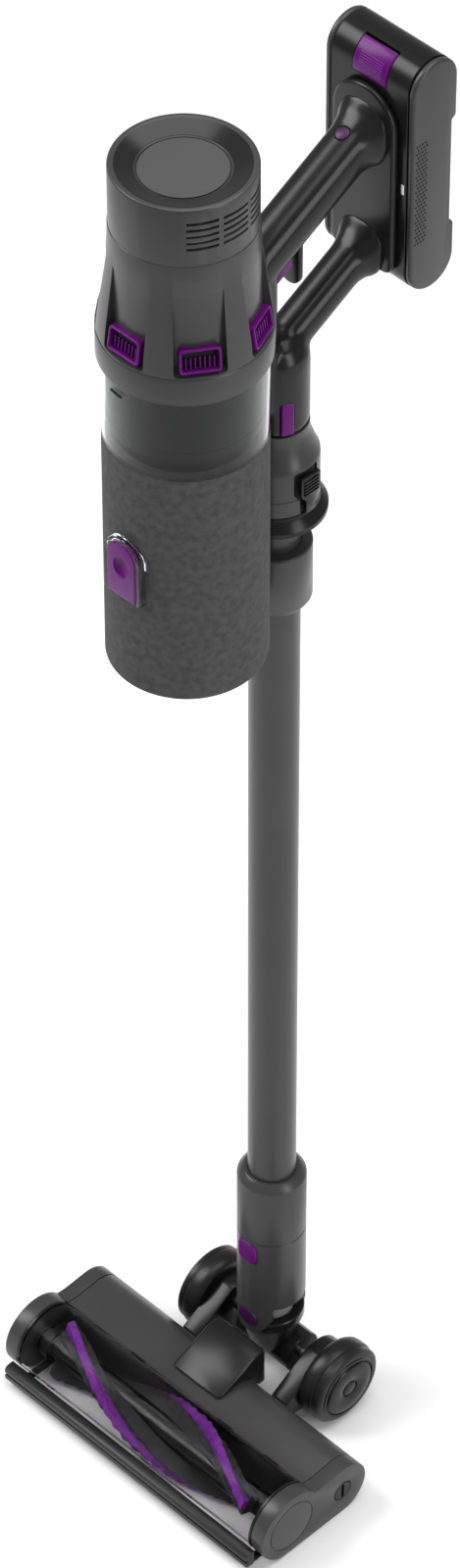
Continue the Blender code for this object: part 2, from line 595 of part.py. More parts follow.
# ---------------------------------------------------------------- handle and battery

def line_z(base, y):
    """Height of a line that climbs backwards with the grip's slope."""
    return base + y * math.tan(GRIP_SLOPE)


def sloping_bar(name, base, start, stop, half_width, half_height, m, parent):
    """A round bar that climbs with the grip's slope between two upright faces."""
    corner = min(half_width, half_height) * 0.86
    outline = rounded(half_width, half_height, corner, count=4)
    loops = [[(a, y, line_z(base, y) + b / math.cos(GRIP_SLOPE)) for a, b in outline] for y in (start, stop)]
    return loft(name, loops, m["dark"], parent)


def handle(m, wand):
    """Column, front post, grip, strut and dock as one moulding round the finger gap."""
    face = BATTERY_FACE - GAP
    front = face - DOCK_THICK
    root = front + 0.0020
    frame = sloping_bar("handle_frame", STRUT_Z, -0.0020, root, STRUT_THICK / 2, STRUT_THICK / 2, m, wand)
    grip = sloping_bar("grip_bar", GRIP_Z, POST_Y - 0.0120, root, GRIP_THICK / 2 - 0.0010, GRIP_THICK / 2, m,
                       wand)
    boolean(frame, grip, "UNION")
    outline = rounded(POST_THICK / 2 + 0.0020, POST_THICK / 2, 0.0090, (0, POST_Y))
    post = prism("post_bar", outline, BASE_TOP + 0.0240, line_z(GRIP_Z, POST_Y), "Z", m["dark"], wand)
    boolean(frame, post, "UNION")
    crown = STRUT_Z + 0.0170
    dome = [(0, crown), (0.0110, crown - 0.0020), (0.0180, crown - 0.0075),
            (COLUMN_RADIUS - 0.0010, crown - 0.0150), (COLUMN_RADIUS, crown - 0.0220),
            (COLUMN_RADIUS, BASE_TOP + GAP), (0, BASE_TOP + GAP)]
    column = turned("column_top", dome, m["dark"], wand, steps=32)
    boolean(frame, column, "UNION")
    duct = turned("column_duct_cut", rod(COLUMN_RADIUS - 0.0080, BASE_TOP - 0.0100, BASE_TOP + 0.0450),
                  m["dark"], wand, steps=24)
    boolean(frame, duct)
    low = BATTERY_LOW + 0.0150
    arch_z = BATTERY_LOW + 0.1305
    dock_loops = []
    for y, shrink in ((face, 0.0), (front, 0.0060)):
        points = [(DOCK_HALF - shrink, low + shrink)] + arc((0, arch_z), DOCK_HALF - shrink, 0, 180, 14)
        points += [(-DOCK_HALF + shrink, low + shrink)]
        dock_loops.append([(x, y, z) for x, z in points])
    dock = loft("handle_dock", dock_loops, m["dark"], wand)
    boolean(frame, dock, "UNION")
    reach = turned("motor_clear_cut", rod(HOUSING_REACH + 2 * GAP, BASE_TOP - 0.05, CAP_TOP + 0.05),
                   m["dark"], wand, (0, -BIN_OFFSET, 0), "Z", 48)
    boolean(frame, reach)
    return frame


def bin_release(m, frame, wand, press):
    """Upright button set into the column's side."""
    swing = Matrix.Rotation(RELEASE_ANGLE, 4, "Z")
    low = BASE_TOP + 0.0020
    half = 0.0045
    tall = 0.0270
    parts = {"bin_release": (0.0, COLUMN_RADIUS + 0.0012, COLUMN_RADIUS - 0.0040),
             "bin_release_cut": (GAP, COLUMN_RADIUS + 0.0100, COLUMN_RADIUS - 0.0065)}
    made = []
    for name, (spread, out, deep) in parts.items():
        outline = rounded(half + spread, tall / 2 + spread, 0.0020 + spread, (0, low + tall / 2))
        piece = prism(name, outline, -out, -deep, "Y", m["purple"], press if spread == 0 else wand)
        piece.data.transform(swing)
        made.append(piece)
    boolean(frame, made[1])


def battery(m, pack, latch):
    """Case with round top and bottom, open at the front towards the dock, and what it holds."""
    r = BATTERY_DEPTH / 2
    half = BATTERY_WIDTH / 2
    top = BATTERY_TOP - r
    low = BATTERY_LOW + r
    cheek = 0.0055

    def stadium(inset):
        return (arc((BATTERY_Y, top), r - inset, 0, 180, 14)
                + arc((BATTERY_Y, low), r - inset, 180, 360, 14))

    case = prism("battery_case", stadium(0.0), -half + cheek, half - cheek, "X", m["dark"], pack)
    hollow = prism("battery_hollow_cut", stadium(WALL), -half - 0.01, half + 0.01, "X", m["dark"], pack)
    boolean(case, hollow)
    for side, name in ((-1, "left"), (1, "right")):
        low_x, high_x = sorted((side * (half - cheek + GAP), side * half))
        outline = stadium(0.0002)
        cheek_piece = prism(f"battery_cheek_{name}", outline, low_x, high_x, "X", m["body"], pack)
        soften(cheek_piece, 0.0012, 1)
    cell_r = 0.0092
    rows = 6
    pitch = 2 * cell_r
    base = BATTERY_Y - 0.0010
    pack_half = half - cheek - 0.0020
    outline = []
    for step in range(rows):
        outline += arc((base, low + 0.006 + pitch * step + cell_r), cell_r, -60, 60, 3)
    back = [(2 * base - y, z) for y, z in reversed(outline)]
    prism("battery_cells", outline + back, -pack_half + 0.0010, pack_half - 0.0010, "X", m["cell"], pack)
    face = BATTERY_FACE
    outline = rounded(0.0145, 0.0105, 0.0035, (0, top + 0.0075))
    button = prism("battery_button", outline, face - 0.0006, face + 0.0110, "Y", m["purple"], latch)
    wide = rounded(0.0145 + GAP, 0.0105 + GAP, 0.0035 + GAP, (0, top + 0.0075))
    boolean(case, prism("battery_button_cut", wide, face - 0.01, face + 0.0150, "Y", m["dark"], pack))
    shape = prism("battery_button_shape_cut", stadium(-0.0006), -0.03, 0.03, "X", m["dark"], latch)
    boolean(button, shape, "INTERSECT")
    light_r = 0.0022
    place = (0.0305, 0, top - 0.0760)
    turned("charge_light", rod(light_r, face + 0.0002, face + 0.0030), m["light"], pack, place, "Y", 16)
    pocket = rod(light_r + GAP, face - 0.01, face + 0.0060)
    boolean(case, turned("charge_light_cut", pocket, m["dark"], pack, place, "Y", 16))


def grip_controls(m, frame, wand, trigger, power):
    """Trigger and its guard under the grip, and the power button on top of it."""
    slope = Matrix.Rotation(GRIP_SLOPE, 4, "X")

    def on_grip(y, outline, low, high, name, material, body):
        """Extrude an (x, along the grip) outline square to the grip's axis."""
        mesh = bmesh.new()
        face = mesh.faces.new([mesh.verts.new((a, b, low)) for a, b in outline])
        grown = bmesh.ops.extrude_face_region(mesh, geom=[face])["geom"]
        moved = [g for g in grown if isinstance(g, bmesh.types.BMVert)]
        bmesh.ops.translate(mesh, vec=(0, 0, high - low), verts=moved)
        place = Matrix.Translation((0, y, line_z(GRIP_Z, y))) @ slope
        bmesh.ops.transform(mesh, matrix=place, verts=mesh.verts)
        return solid(name, mesh, m[material], body)

    def hung(front, rear, top, drop, half, name, body):
        """A piece that hangs straight down from the grip, its bottom parallel to it."""
        outline = [(front, line_z(GRIP_Z - top, front)), (rear, line_z(GRIP_Z - top, rear)),
                   (rear, line_z(GRIP_Z - drop, rear)), (front, line_z(GRIP_Z - drop, front))]
        return prism(name, outline, -half, half, "X", m["purple"], body)

    front, rear = TRIGGER_Y - TRIGGER_LONG / 2, TRIGGER_Y + TRIGGER_LONG / 2
    soften(hung(front, rear, 0.0085, 0.0294, 0.0080, "trigger", trigger), 0.0012, 1)
    boolean(frame, hung(front - GAP, rear + GAP, 0.0035, 0.0600, 0.0080 + GAP, "trigger_cut", wand))
    guard_y = rear + 0.0050
    width = 0.0095
    bend = line_z(GRIP_Z, guard_y) - GUARD_DROP + width
    outline = arc((0, bend), width, 180, 360, 10) + [(width, bend + 0.0300), (-width, bend + 0.0300)]
    guard = prism("finger_guard", outline, guard_y - 0.0022, guard_y + 0.0022, "Y", m["dark"], wand)
    boolean(frame, guard, "UNION")
    top = GRIP_THICK / 2
    disc = arc((0, 0), 0.0062, 0, 345, 23)
    on_grip(POWER_Y, disc, top - 0.0040, top + 0.0008, "power_button", "purple", power)
    disc_wide = arc((0, 0), 0.0062 + GAP, 0, 345, 23)
    boolean(frame, on_grip(POWER_Y, disc_wide, top - 0.0075, top + 0.01, "power_cut", "dark", wand))


# ---------------------------------------------------------------- bin and motor unit

def sector(inner, outer, middle, half_angle, count=5):
    """Part of a ring about the bin's axis; the angle runs from the front (-Y) towards +X."""
    def place(radius, angle):
        turn = math.radians(angle)
        return (radius * math.sin(turn), -BIN_OFFSET - radius * math.cos(turn))
    steps = [middle - half_angle + 2 * half_angle * s / count for s in range(count + 1)]
    return [place(outer, a) for a in steps] + [place(inner, a) for a in reversed(steps)]


def bin_assembly(m, wand, lid, latch):
    centre = (0, -BIN_OFFSET, 0)
    wall = 0.0020
    turned("clear_bin", [(BIN_RADIUS, BIN_TOP), (BIN_FOOT, BIN_LOW), (BIN_FOOT - wall, BIN_LOW),
                         (BIN_RADIUS - wall, BIN_TOP)], m["clear"], wand, centre, steps=36)
    lid_r = BIN_FOOT
    turned("bin_lid", [(0, LID_LOW + 0.0050), (lid_r - 0.0120, LID_LOW + 0.0050), (lid_r - 0.0100, LID_LOW),
                       (lid_r - 0.0015, LID_LOW), (lid_r, LID_LOW + 0.0020), (lid_r, LID_TOP),
                       (lid_r - 0.0060, LID_TOP), (lid_r - 0.0080, LID_LOW + 0.0075),
                       (0, LID_LOW + 0.0075)][::-1], m["clear"], lid, centre, steps=36)
    half = 0.0128
    low = LID_LOW + 0.0005
    bend = low + LATCH_HEIGHT - half
    face = -BIN_OFFSET - BIN_FOOT
    outline = [(half, low)] + arc((0, bend), half, 0, 180, 10) + [(-half, low)]
    prism("bin_latch", outline, face - 0.0075, face - 0.0030, "Y", m["purple"], latch)
    rim = half + 0.0005
    edge = rim + 0.0030
    frame = ([(edge, low)] + arc((0, bend), edge, 0, 180, 10) + [(-edge, low), (-rim, low)]
             + arc((0, bend), rim, 180, 0, 10) + [(rim, low)])
    arch = prism("latch_frame", frame, face - 0.0070, face + 0.0060, "Y", m["clear"], wand)
    swing = BIN_FOOT + 0.0020       # the lid's front edge passes here
    room = turned("bin_room_cut", [(0, BIN_TOP), (BIN_RADIUS + GAP, BIN_TOP), (BIN_FOOT + GAP, BIN_LOW),
                                   (swing, BIN_LOW), (swing, LID_LOW - 0.02), (0, LID_LOW - 0.02)],
                  m["clear"], wand, centre, steps=36)
    boolean(arch, room)


def cyclone(m, wand):
    """Shroud, cone and stem, open all the way down the middle."""
    top = BIN_TOP - 0.0020
    flange = BIN_TOP - 0.0521
    drum = BIN_TOP - 0.0991
    foot = LID_LOW + 0.0110
    r = BIN_RADIUS - 0.0110
    skirt = BIN_RADIUS - 0.0045
    thick = 0.0020
    stem = 0.0206
    outline = [(skirt, top), (skirt, flange + 0.0008), (skirt - 0.0008, flange), (r, flange), (r, drum),
               (stem, drum + 0.0040), (stem, foot + 0.0120), (0.0274, foot), (0.0250, foot),
               (stem - thick, foot + 0.0125), (stem - thick, drum + 0.0060), (r - thick, drum + 0.0030),
               (r - thick, flange + thick), (skirt - thick, flange + thick + 0.0008), (skirt - thick, top)]
    turned("cyclone_shroud", outline, m["dark"], wand, (0, -BIN_OFFSET, 0), steps=28)


def motor_unit(m, wand, fan, cap):
    centre = (0, -BIN_OFFSET, 0)
    low = BIN_TOP + GAP
    high = HOUSING_TOP
    tall = high - low
    rise = [(1.0, CAP_RADIUS + 0.0002), (0.78, CAP_RADIUS + 0.0012), (0.63, CAP_RADIUS + 0.0029),
            (0.48, HOUSING_WAIST), (0.33, BIN_RADIUS + 0.0005), (0.18, BIN_RADIUS + 0.0016),
            (0.03, BIN_RADIUS + 0.0015), (0.0, BIN_RADIUS)]
    outer = [(radius, low + share * tall) for share, radius in rise]
    inner = [(radius - WALL, height) for radius, height in outer]
    housing = turned("motor_housing", outer + inner[::-1], m["body"], wand, centre, steps=32)
    vent_low = low + tall * 0.235
    vent_high = low + tall * 0.43
    band_r = VENT_RING
    vents = turned("vent_band", ring(band_r - 0.0015, band_r, vent_low, vent_high), m["purple"], wand,
                   centre, steps=35)
    for index in range(5):
        angle = (index - 2) * VENT_PITCH
        outline = sector(band_r - 0.0010, VENT_FACE, angle, VENT_HALF)
        pad = prism(f"vent_pad_{index + 1}", outline, vent_low, vent_high, "Z", m["purple"], wand)
        boolean(vents, pad, "UNION")
        outline = sector(band_r - 0.004, VENT_FACE + 0.0075, angle, VENT_HALF + 0.4)
        slot = prism(f"vent_{index + 1}_cut", outline, vent_low - GAP, vent_high + GAP, "Z", m["dark"], wand)
        boolean(housing, slot)
    r = CAP_RADIUS
    rim = r - 0.0028
    dish = CAP_TOP - 0.0055
    turned("motor_cap", [(0, dish - 0.0020), (r - 0.0100, dish - 0.0020), (r - WALL, CAP_TOP - 0.0150),
                         (r - WALL, CAP_LOW), (r + 0.0002, CAP_LOW), (r, CAP_TOP - 0.0010),
                         (r - 0.0010, CAP_TOP), (rim, CAP_TOP), (rim - 0.0060, CAP_TOP - 0.0040),
                         (0.0300, dish), (0, dish)],
           m["body"], cap, centre, steps=32)
    turned("cap_disc", rod(0.0290, dish + GAP, dish + 0.0014), m["disc"], cap, centre, steps=32)
    turned("exhaust_filter", ring(0.0180, r - 0.0060, CAP_LOW + 0.0020, dish - 0.0150), m["filter"], cap,
           centre, steps=36)
    can = [(0, high - 0.0060), (0.0200, high - 0.0060), (0.0265, high - 0.0120), (0.0265, high - 0.0480),
           (0.0300, high - 0.0480), (0.0300, high - 0.0520), (0, high - 0.0520)]
    turned("motor_can", can, m["alloy"], wand, centre, steps=36)
    wheel_outline = [(0, high - 0.0530), (0.0285, high - 0.0530), (0.0285, high - 0.0560),
                     (0.0120, high - 0.0640), (0, high - 0.0640)]
    turned("impeller", wheel_outline, m["alloy"], fan, centre, steps=36)


# ---------------------------------------------------------------- assembly

def main():
    clear_scene()
    m = make_materials()
    base = pivot("assembly", (0, 0, 0), None)
    base.location = (0, ASSEMBLY_Y, 0)
    head = pivot("head_pivot", (0, BRUSH_Y, 0), base)
    spin = pivot("brush_pivot", (0, BRUSH_Y, BRUSH_Z), base)
    drive = pivot("drive_pivot", (0, MOTOR_Y, MOTOR_Z), base)
    lock = pivot("coin_lock_pivot", (HEAD_WIDTH / 2, MOTOR_Y, MOTOR_Z), base)
    left_wheel = pivot("left_wheel_pivot", (-WHEEL_FACE, AXLE_Y, AXLE_Z), base)
    right_wheel = pivot("right_wheel_pivot", (WHEEL_FACE, AXLE_Y, AXLE_Z), base)
    tilt = pivot("tilt_pivot", (0, AXLE_Y, AXLE_Z), base)
    wand = pivot("roll_pivot", (0, 0, ROLL_Z), tilt)

    shell = head_shell(m, head)
    head_window(m, head)
    end_caps(m, head, lock)
    bumper(m, head)
    sole(m, head)
    brush(m, head, spin, drive, shell)
    neck(m, head)
    wheel(m, -1, "left", left_wheel)
    wheel(m, 1, "right", right_wheel)
    yoke(m, tilt)

    body = socket(m, wand)
    press = pivot("head_release_pivot", (0, -SOCKET_RADIUS, SOCKET_TOP - 0.0120), wand)
    outline = rounded(0.0085, 0.0100, 0.0040, (0, SOCKET_TOP - 0.0125))
    press_button("head_release", outline, m["purple"], body, press)
    collar = wand_pieces(m, wand)
    press = pivot("wand_release_pivot", (0, -SOCKET_RADIUS, HAND_Z - 0.0320), wand)
    outline = arc((0, HAND_Z - 0.0320), 0.0056, 0, 342, 19)
    press_button("wand_release", outline, m["purple"], collar, press)
    slide = pivot("dusting_brush_pivot", (0, 0, SKIRT_LOW), wand)
    dusting_brush(m, slide)
    column_base(m, wand)
    frame = handle(m, wand)
    place = (COLUMN_RADIUS * math.sin(RELEASE_ANGLE), -COLUMN_RADIUS * math.cos(RELEASE_ANGLE),
             BASE_TOP + 0.0155)
    bin_release(m, frame, wand, pivot("bin_release_pivot", place, wand))
    trigger = pivot("trigger_pivot", (0, TRIGGER_Y, line_z(GRIP_Z, TRIGGER_Y)), wand)
    power = pivot("power_pivot", (0, POWER_Y, line_z(GRIP_Z, POWER_Y)), wand)
    grip_controls(m, frame, wand, trigger, power)
    pack = pivot("battery_pivot", (0, BATTERY_Y, BATTERY_LOW), wand)
    release = pivot("battery_release_pivot", (0, BATTERY_FACE, BATTERY_TOP - 0.0125), pack)
    battery(m, pack, release)
    lid = pivot("lid_pivot", (0, -BIN_OFFSET + BIN_FOOT - 0.0031, LID_LOW + 0.0004), wand)
    latch = pivot("latch_pivot", (0, -BIN_OFFSET - BIN_FOOT, LID_LOW), wand)
    bin_assembly(m, wand, lid, latch)
    cyclone(m, wand)
    fan = pivot("fan_pivot", (0, -BIN_OFFSET, HOUSING_TOP), wand)
    cap = pivot("cap_pivot", (0, -BIN_OFFSET, CAP_LOW), wand)
    motor_unit(m, wand, fan, cap)
    bpy.context.view_layer.update()


main()
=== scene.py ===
import json
import math

import bpy
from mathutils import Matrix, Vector

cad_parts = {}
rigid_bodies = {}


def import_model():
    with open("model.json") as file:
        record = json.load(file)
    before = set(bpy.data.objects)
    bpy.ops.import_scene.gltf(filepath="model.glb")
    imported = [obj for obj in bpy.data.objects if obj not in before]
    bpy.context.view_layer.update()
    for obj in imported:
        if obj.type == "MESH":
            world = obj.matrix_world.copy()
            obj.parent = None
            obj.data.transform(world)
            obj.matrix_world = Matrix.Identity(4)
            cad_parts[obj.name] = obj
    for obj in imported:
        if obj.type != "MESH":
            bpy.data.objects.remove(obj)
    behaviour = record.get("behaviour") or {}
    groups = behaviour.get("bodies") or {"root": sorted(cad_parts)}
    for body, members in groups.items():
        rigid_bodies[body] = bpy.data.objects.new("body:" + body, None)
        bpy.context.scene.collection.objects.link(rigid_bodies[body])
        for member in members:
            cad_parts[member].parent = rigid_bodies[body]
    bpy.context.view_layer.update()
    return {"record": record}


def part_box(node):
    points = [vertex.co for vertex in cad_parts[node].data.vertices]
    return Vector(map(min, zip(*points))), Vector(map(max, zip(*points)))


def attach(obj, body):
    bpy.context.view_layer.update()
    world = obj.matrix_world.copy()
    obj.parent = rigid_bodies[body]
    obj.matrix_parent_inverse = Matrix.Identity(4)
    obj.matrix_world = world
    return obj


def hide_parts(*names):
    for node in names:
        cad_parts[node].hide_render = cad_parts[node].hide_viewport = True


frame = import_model()


# modelling helpers

def deselectAll():
    bpy.ops.object.select_all(action="DESELECT")


def pick(piece):
    deselectAll()
    piece.select_set(True)
    bpy.context.view_layer.objects.active = piece


def startEdit(piece):
    pick(piece)
    bpy.ops.object.mode_set(mode="EDIT")
    bpy.ops.mesh.select_all(action="SELECT")


def endEdit():
    bpy.ops.object.mode_set(mode="OBJECT")


def drawLine(name, points):
    # one vertex, then a vertex extruded to each next point; stays in edit mode
    deselectAll()
    bpy.ops.mesh.primitive_plane_add(size=0.001)
    piece = bpy.context.object
    piece.name = name
    bpy.ops.object.mode_set(mode="EDIT")
    bpy.ops.mesh.select_all(action="SELECT")
    bpy.ops.mesh.merge(type="CENTER")
    bpy.ops.transform.translate(value=points[0])
    for here, there in zip(points, points[1:]):
        step = tuple(b - a for a, b in zip(here, there))
        bpy.ops.mesh.extrude_vertices_move(TRANSFORM_OT_translate={"value": step})
    bpy.ops.mesh.select_all(action="SELECT")
    return piece


def aroundAxis(axis, centre, radius, height, azimuth=0.0):
    # azimuth 0 is the front (-Y) for an upright axis and grows towards the right (+X)
    a = math.radians(azimuth)
    u, v = radius * math.sin(a), -radius * math.cos(a)
    if axis == "Z":
        return (centre[0] + u, centre[1] + v, height)
    if axis == "X":
        return (height, centre[1] + u, centre[2] + v)
    return (centre[0] + u, height, centre[2] + v)


def cleanMesh():
    bpy.ops.mesh.select_all(action="SELECT")
    bpy.ops.mesh.remove_doubles(threshold=0.000002)
    bpy.ops.mesh.normals_make_consistent(inside=False)
    endEdit()


def lathe(name, profile, centre, axis="Z", steps=96):
    # a closed outline of (radius, height) drawn and spun all the way round
    points = [aroundAxis(axis, centre, max(r, 0.0), h) for r, h in profile]
    if profile[0][0] > 0 or profile[-1][0] > 0:
        points.append(points[0])
    piece = drawLine(name, points)
    way = {"X": (1, 0, 0), "Y": (0, 1, 0), "Z": (0, 0, 1)}[axis]
    bpy.ops.mesh.spin(steps=steps, angle=2 * math.pi, center=centre, axis=way)
    cleanMesh()
    return piece


def rod(name, radius, low, high, centre, axis="Z", steps=96):
    return lathe(name, [(0, low), (radius, low), (radius, high), (0, high)], centre, axis, steps)


def sector(name, profile, centre, middle, half, steps=12):
    # a closed outline swept part of the way round an upright axis
    points = [aroundAxis("Z", centre, r, h, middle + half) for r, h in profile]
    piece = drawLine(name, points)
    bpy.ops.mesh.edge_face_add()
    bpy.ops.mesh.spin(steps=steps, angle=math.radians(2 * half), center=centre, axis=(0, 0, 1))
    cleanMesh()
    return piece


def extruded(name, outline, low, high, axis):
    # an outline of (y, z), (x, z) or (x, y) points pulled along X, Y or Z
    place = {"X": lambda a, b: (low, a, b), "Y": lambda a, b: (a, low, b), "Z": lambda a, b: (a, b,
                                                                                              low)}[axis]
    piece = drawLine(name, [place(a, b) for a, b in outline])
    bpy.ops.mesh.edge_face_add()
    step = tuple((high - low) if letter == axis else 0.0 for letter in "XYZ")
    bpy.ops.mesh.extrude_region_move(TRANSFORM_OT_translate={"value": step})
    cleanMesh()
    return piece


def roundCorners(points, radius, count=4, closed=True):
    # every corner of an outline becomes a short curve
    made = []
    total = len(points)
    for index, point in enumerate(points):
        if not closed and index in (0, total - 1):
            made.append(point)
            continue
        here = Vector(point)
        before, after = Vector(points[index - 1]), Vector(points[(index + 1) % total])
        reach = radius[index] if isinstance(radius, (list, tuple)) else radius
        if reach <= 0:
            made.append(point)
            continue
        start = here + (before - here).normalized() * min(reach, (before - here).length * 0.48)
        end = here + (after - here).normalized() * min(reach, (after - here).length * 0.48)
        for step in range(count + 1):
            t = step / count
            made.append(tuple(start * (1 - t) ** 2 + here * 2 * t * (1 - t) + end * t ** 2))
    return made


def arcPoints(centre, radius, start, stop, count):
    angles = [math.radians(start + (stop - start) * step / count) for step in range(count + 1)]
    return [(centre[0] + radius * math.cos(a), centre[1] + radius * math.sin(a)) for a in angles]


def rectangle(halfWidth, halfHeight, radius, centre=(0, 0), count=5):
    corners = [(centre[0] + sx * halfWidth, centre[1] + sy * halfHeight)
               for sx, sy in ((1, 1), (-1, 1), (-1, -1), (1, -1))]
    return roundCorners(corners, radius, count)


def shifted(points, right, up):
    return [(a + right, b + up) for a, b in points]


def applyModifier(piece, kind, **values):
    pick(piece)
    modifier = piece.modifiers.new(kind.lower(), kind)
    for key, value in values.items():
        setattr(modifier, key, value)
    bpy.ops.object.modifier_apply(modifier=modifier.name)


def combine(piece, tool, operation="DIFFERENCE"):
    applyModifier(piece, "BOOLEAN", operation=operation, solver="EXACT", object=tool)
    bpy.data.objects.remove(tool)
    return piece


def bevelEdges(piece, width, segments=3, angle=30):
    applyModifier(piece, "BEVEL", width=width, segments=segments, limit_method="ANGLE",
                  angle_limit=math.radians(angle))
    return piece


def joinAll(items):
    deselectAll()
    for item in items:
        item.select_set(True)
    bpy.context.view_layer.objects.active = items[0]
    bpy.ops.object.join()
    return items[0]


def turnMesh(piece, degrees, axis, centre):
    # without a window the operator turns the other way
    startEdit(piece)
    bpy.ops.transform.rotate(value=-math.radians(degrees), orient_axis=axis, center_override=centre)
    endEdit()
    return piece


def moveMesh(piece, step):
    startEdit(piece)
    bpy.ops.transform.translate(value=step)
    endEdit()
    return piece


def copyTurned(piece, degrees, axis, centre):
    pick(piece)
    bpy.ops.object.duplicate()
    return turnMesh(bpy.context.object, degrees, axis, centre)


def copyMoved(piece, step):
    pick(piece)
    bpy.ops.object.duplicate()
    return moveMesh(bpy.context.object, step)


def block(name, size, centre, radius=0.0, segments=3):
    deselectAll()
    bpy.ops.mesh.primitive_cube_add(size=1, location=centre, scale=size)
    piece = bpy.context.object
    piece.name = name
    bpy.ops.object.transform_apply(location=True, rotation=True, scale=True)
    if radius > 0:
        startEdit(piece)
        bpy.ops.mesh.bevel(offset=radius, segments=segments, affect="EDGES")
        endEdit()
    return piece


def finished(piece, material, body, replaced=(), angle=32):
    pick(piece)
    bpy.ops.object.shade_smooth_by_angle(angle=math.radians(angle))
    piece.data.materials.clear()
    piece.data.materials.append(material)
    piece.data.name = piece.name
    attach(piece, body)
    if replaced:
        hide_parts(*replaced)
    return piece


def middleOf(node):
    low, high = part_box(node)
    return (low + high) / 2


# materials

def newMaterial(name):
    material = bpy.data.materials.new(name)
    material.use_nodes = True
    return material, material.node_tree.nodes, material.node_tree.links


def addNoise(nodes, links, place, scale, detail=2.0):
    noise = nodes.new("ShaderNodeTexNoise")
    noise.inputs["Scale"].default_value = scale
    noise.inputs["Detail"].default_value = detail
    links.new(place.outputs["Object"], noise.inputs["Vector"])
    return noise.outputs["Fac"]


def addTone(nodes, links, source, colours, stops=(0.0, 1.0)):
    tone = nodes.new("ShaderNodeValToRGB")
    for element, stop, colour in zip(tone.color_ramp.elements, stops, colours):
        element.position = stop
        element.color = (*colour, 1)
    links.new(source, tone.inputs["Fac"])
    return tone.outputs["Color"]


def addFinish(nodes, links, shader, gloss, grain):
    # gloss is (source, lowest, highest roughness) and grain is (source, bump strength)
    level = nodes.new("ShaderNodeMapRange")
    level.inputs["To Min"].default_value = gloss[1]
    level.inputs["To Max"].default_value = gloss[2]
    links.new(gloss[0], level.inputs["Value"])
    links.new(level.outputs["Result"], shader.inputs["Roughness"])
    bump = nodes.new("ShaderNodeBump")
    bump.inputs["Strength"].default_value = grain[1]
    bump.inputs["Distance"].default_value = 0.0002
    links.new(grain[0], bump.inputs["Height"])
    links.new(bump.outputs["Normal"], shader.inputs["Normal"])


def moulded(name, look):
    # moulded plastic: slow colour drift, fine grain in the surface, and a painted highlight that lightens sharp
    # convex edges
    material, nodes, links = newMaterial(name)
    shader = nodes["Principled BSDF"]
    shader.inputs["Metallic"].default_value = look.get("metallic", 0.0)
    shader.inputs["Specular IOR Level"].default_value = look.get("specular", 0.28)
    place = nodes.new("ShaderNodeTexCoord")
    drift = addNoise(nodes, links, place, look.get("driftScale", 14.0), 3.0)
    tone = addTone(nodes, links, drift, look["colours"], (0.3, 0.7))
    # painted highlight: sharp convex edges (Pointiness) are mixed towards a lighter copy of the colour
    edge = nodes.new("ShaderNodeNewGeometry")
    edgeHighlightMask = nodes.new("ShaderNodeMapRange")
    edgeHighlightMask.inputs["From Min"].default_value = 0.53
    edgeHighlightMask.inputs["From Max"].default_value = 0.66
    edgeHighlightMask.inputs["To Max"].default_value = look.get("edgeHighlight", 0.25)
    links.new(edge.outputs["Pointiness"], edgeHighlightMask.inputs["Value"])
    edgeHighlightColour = nodes.new("ShaderNodeMix")
    edgeHighlightColour.data_type = "RGBA"
    edgeHighlightColour.inputs["B"].default_value = (*[min(1.0, c * 2.2 + 0.02) for c in look["colours"][1]], 1)
    links.new(edgeHighlightMask.outputs["Result"], edgeHighlightColour.inputs["Factor"])
    links.new(tone, edgeHighlightColour.inputs["A"])
    links.new(edgeHighlightColour.outputs["Result"], shader.inputs["Base Color"])
    grain = addNoise(nodes, links, place, look.get("grainScale", 900.0))
    addFinish(nodes, links, shader, (drift, look["roughness"] - 0.05, look["roughness"] + 0.05),
              (grain, look.get("grain", 0.06)))
    return material


def clearPlastic(name, look):
    # clear or smoked plastic with faint flow lines
    material, nodes, links = newMaterial(name)
    shader = nodes["Principled BSDF"]
    shader.inputs["Transmission Weight"].default_value = 1.0
    shader.inputs["IOR"].default_value = look["ior"]
    shader.inputs["Specular IOR Level"].default_value = look.get("specular", 0.5)
    place = nodes.new("ShaderNodeTexCoord")
    flow = addNoise(nodes, links, place, 30.0)
    links.new(addTone(nodes, links, flow, look["colours"]), shader.inputs["Base Color"])
    addFinish(nodes, links, shader, (flow, look["roughness"], look["roughness"] + 0.02), (flow, 0.02))
    return material
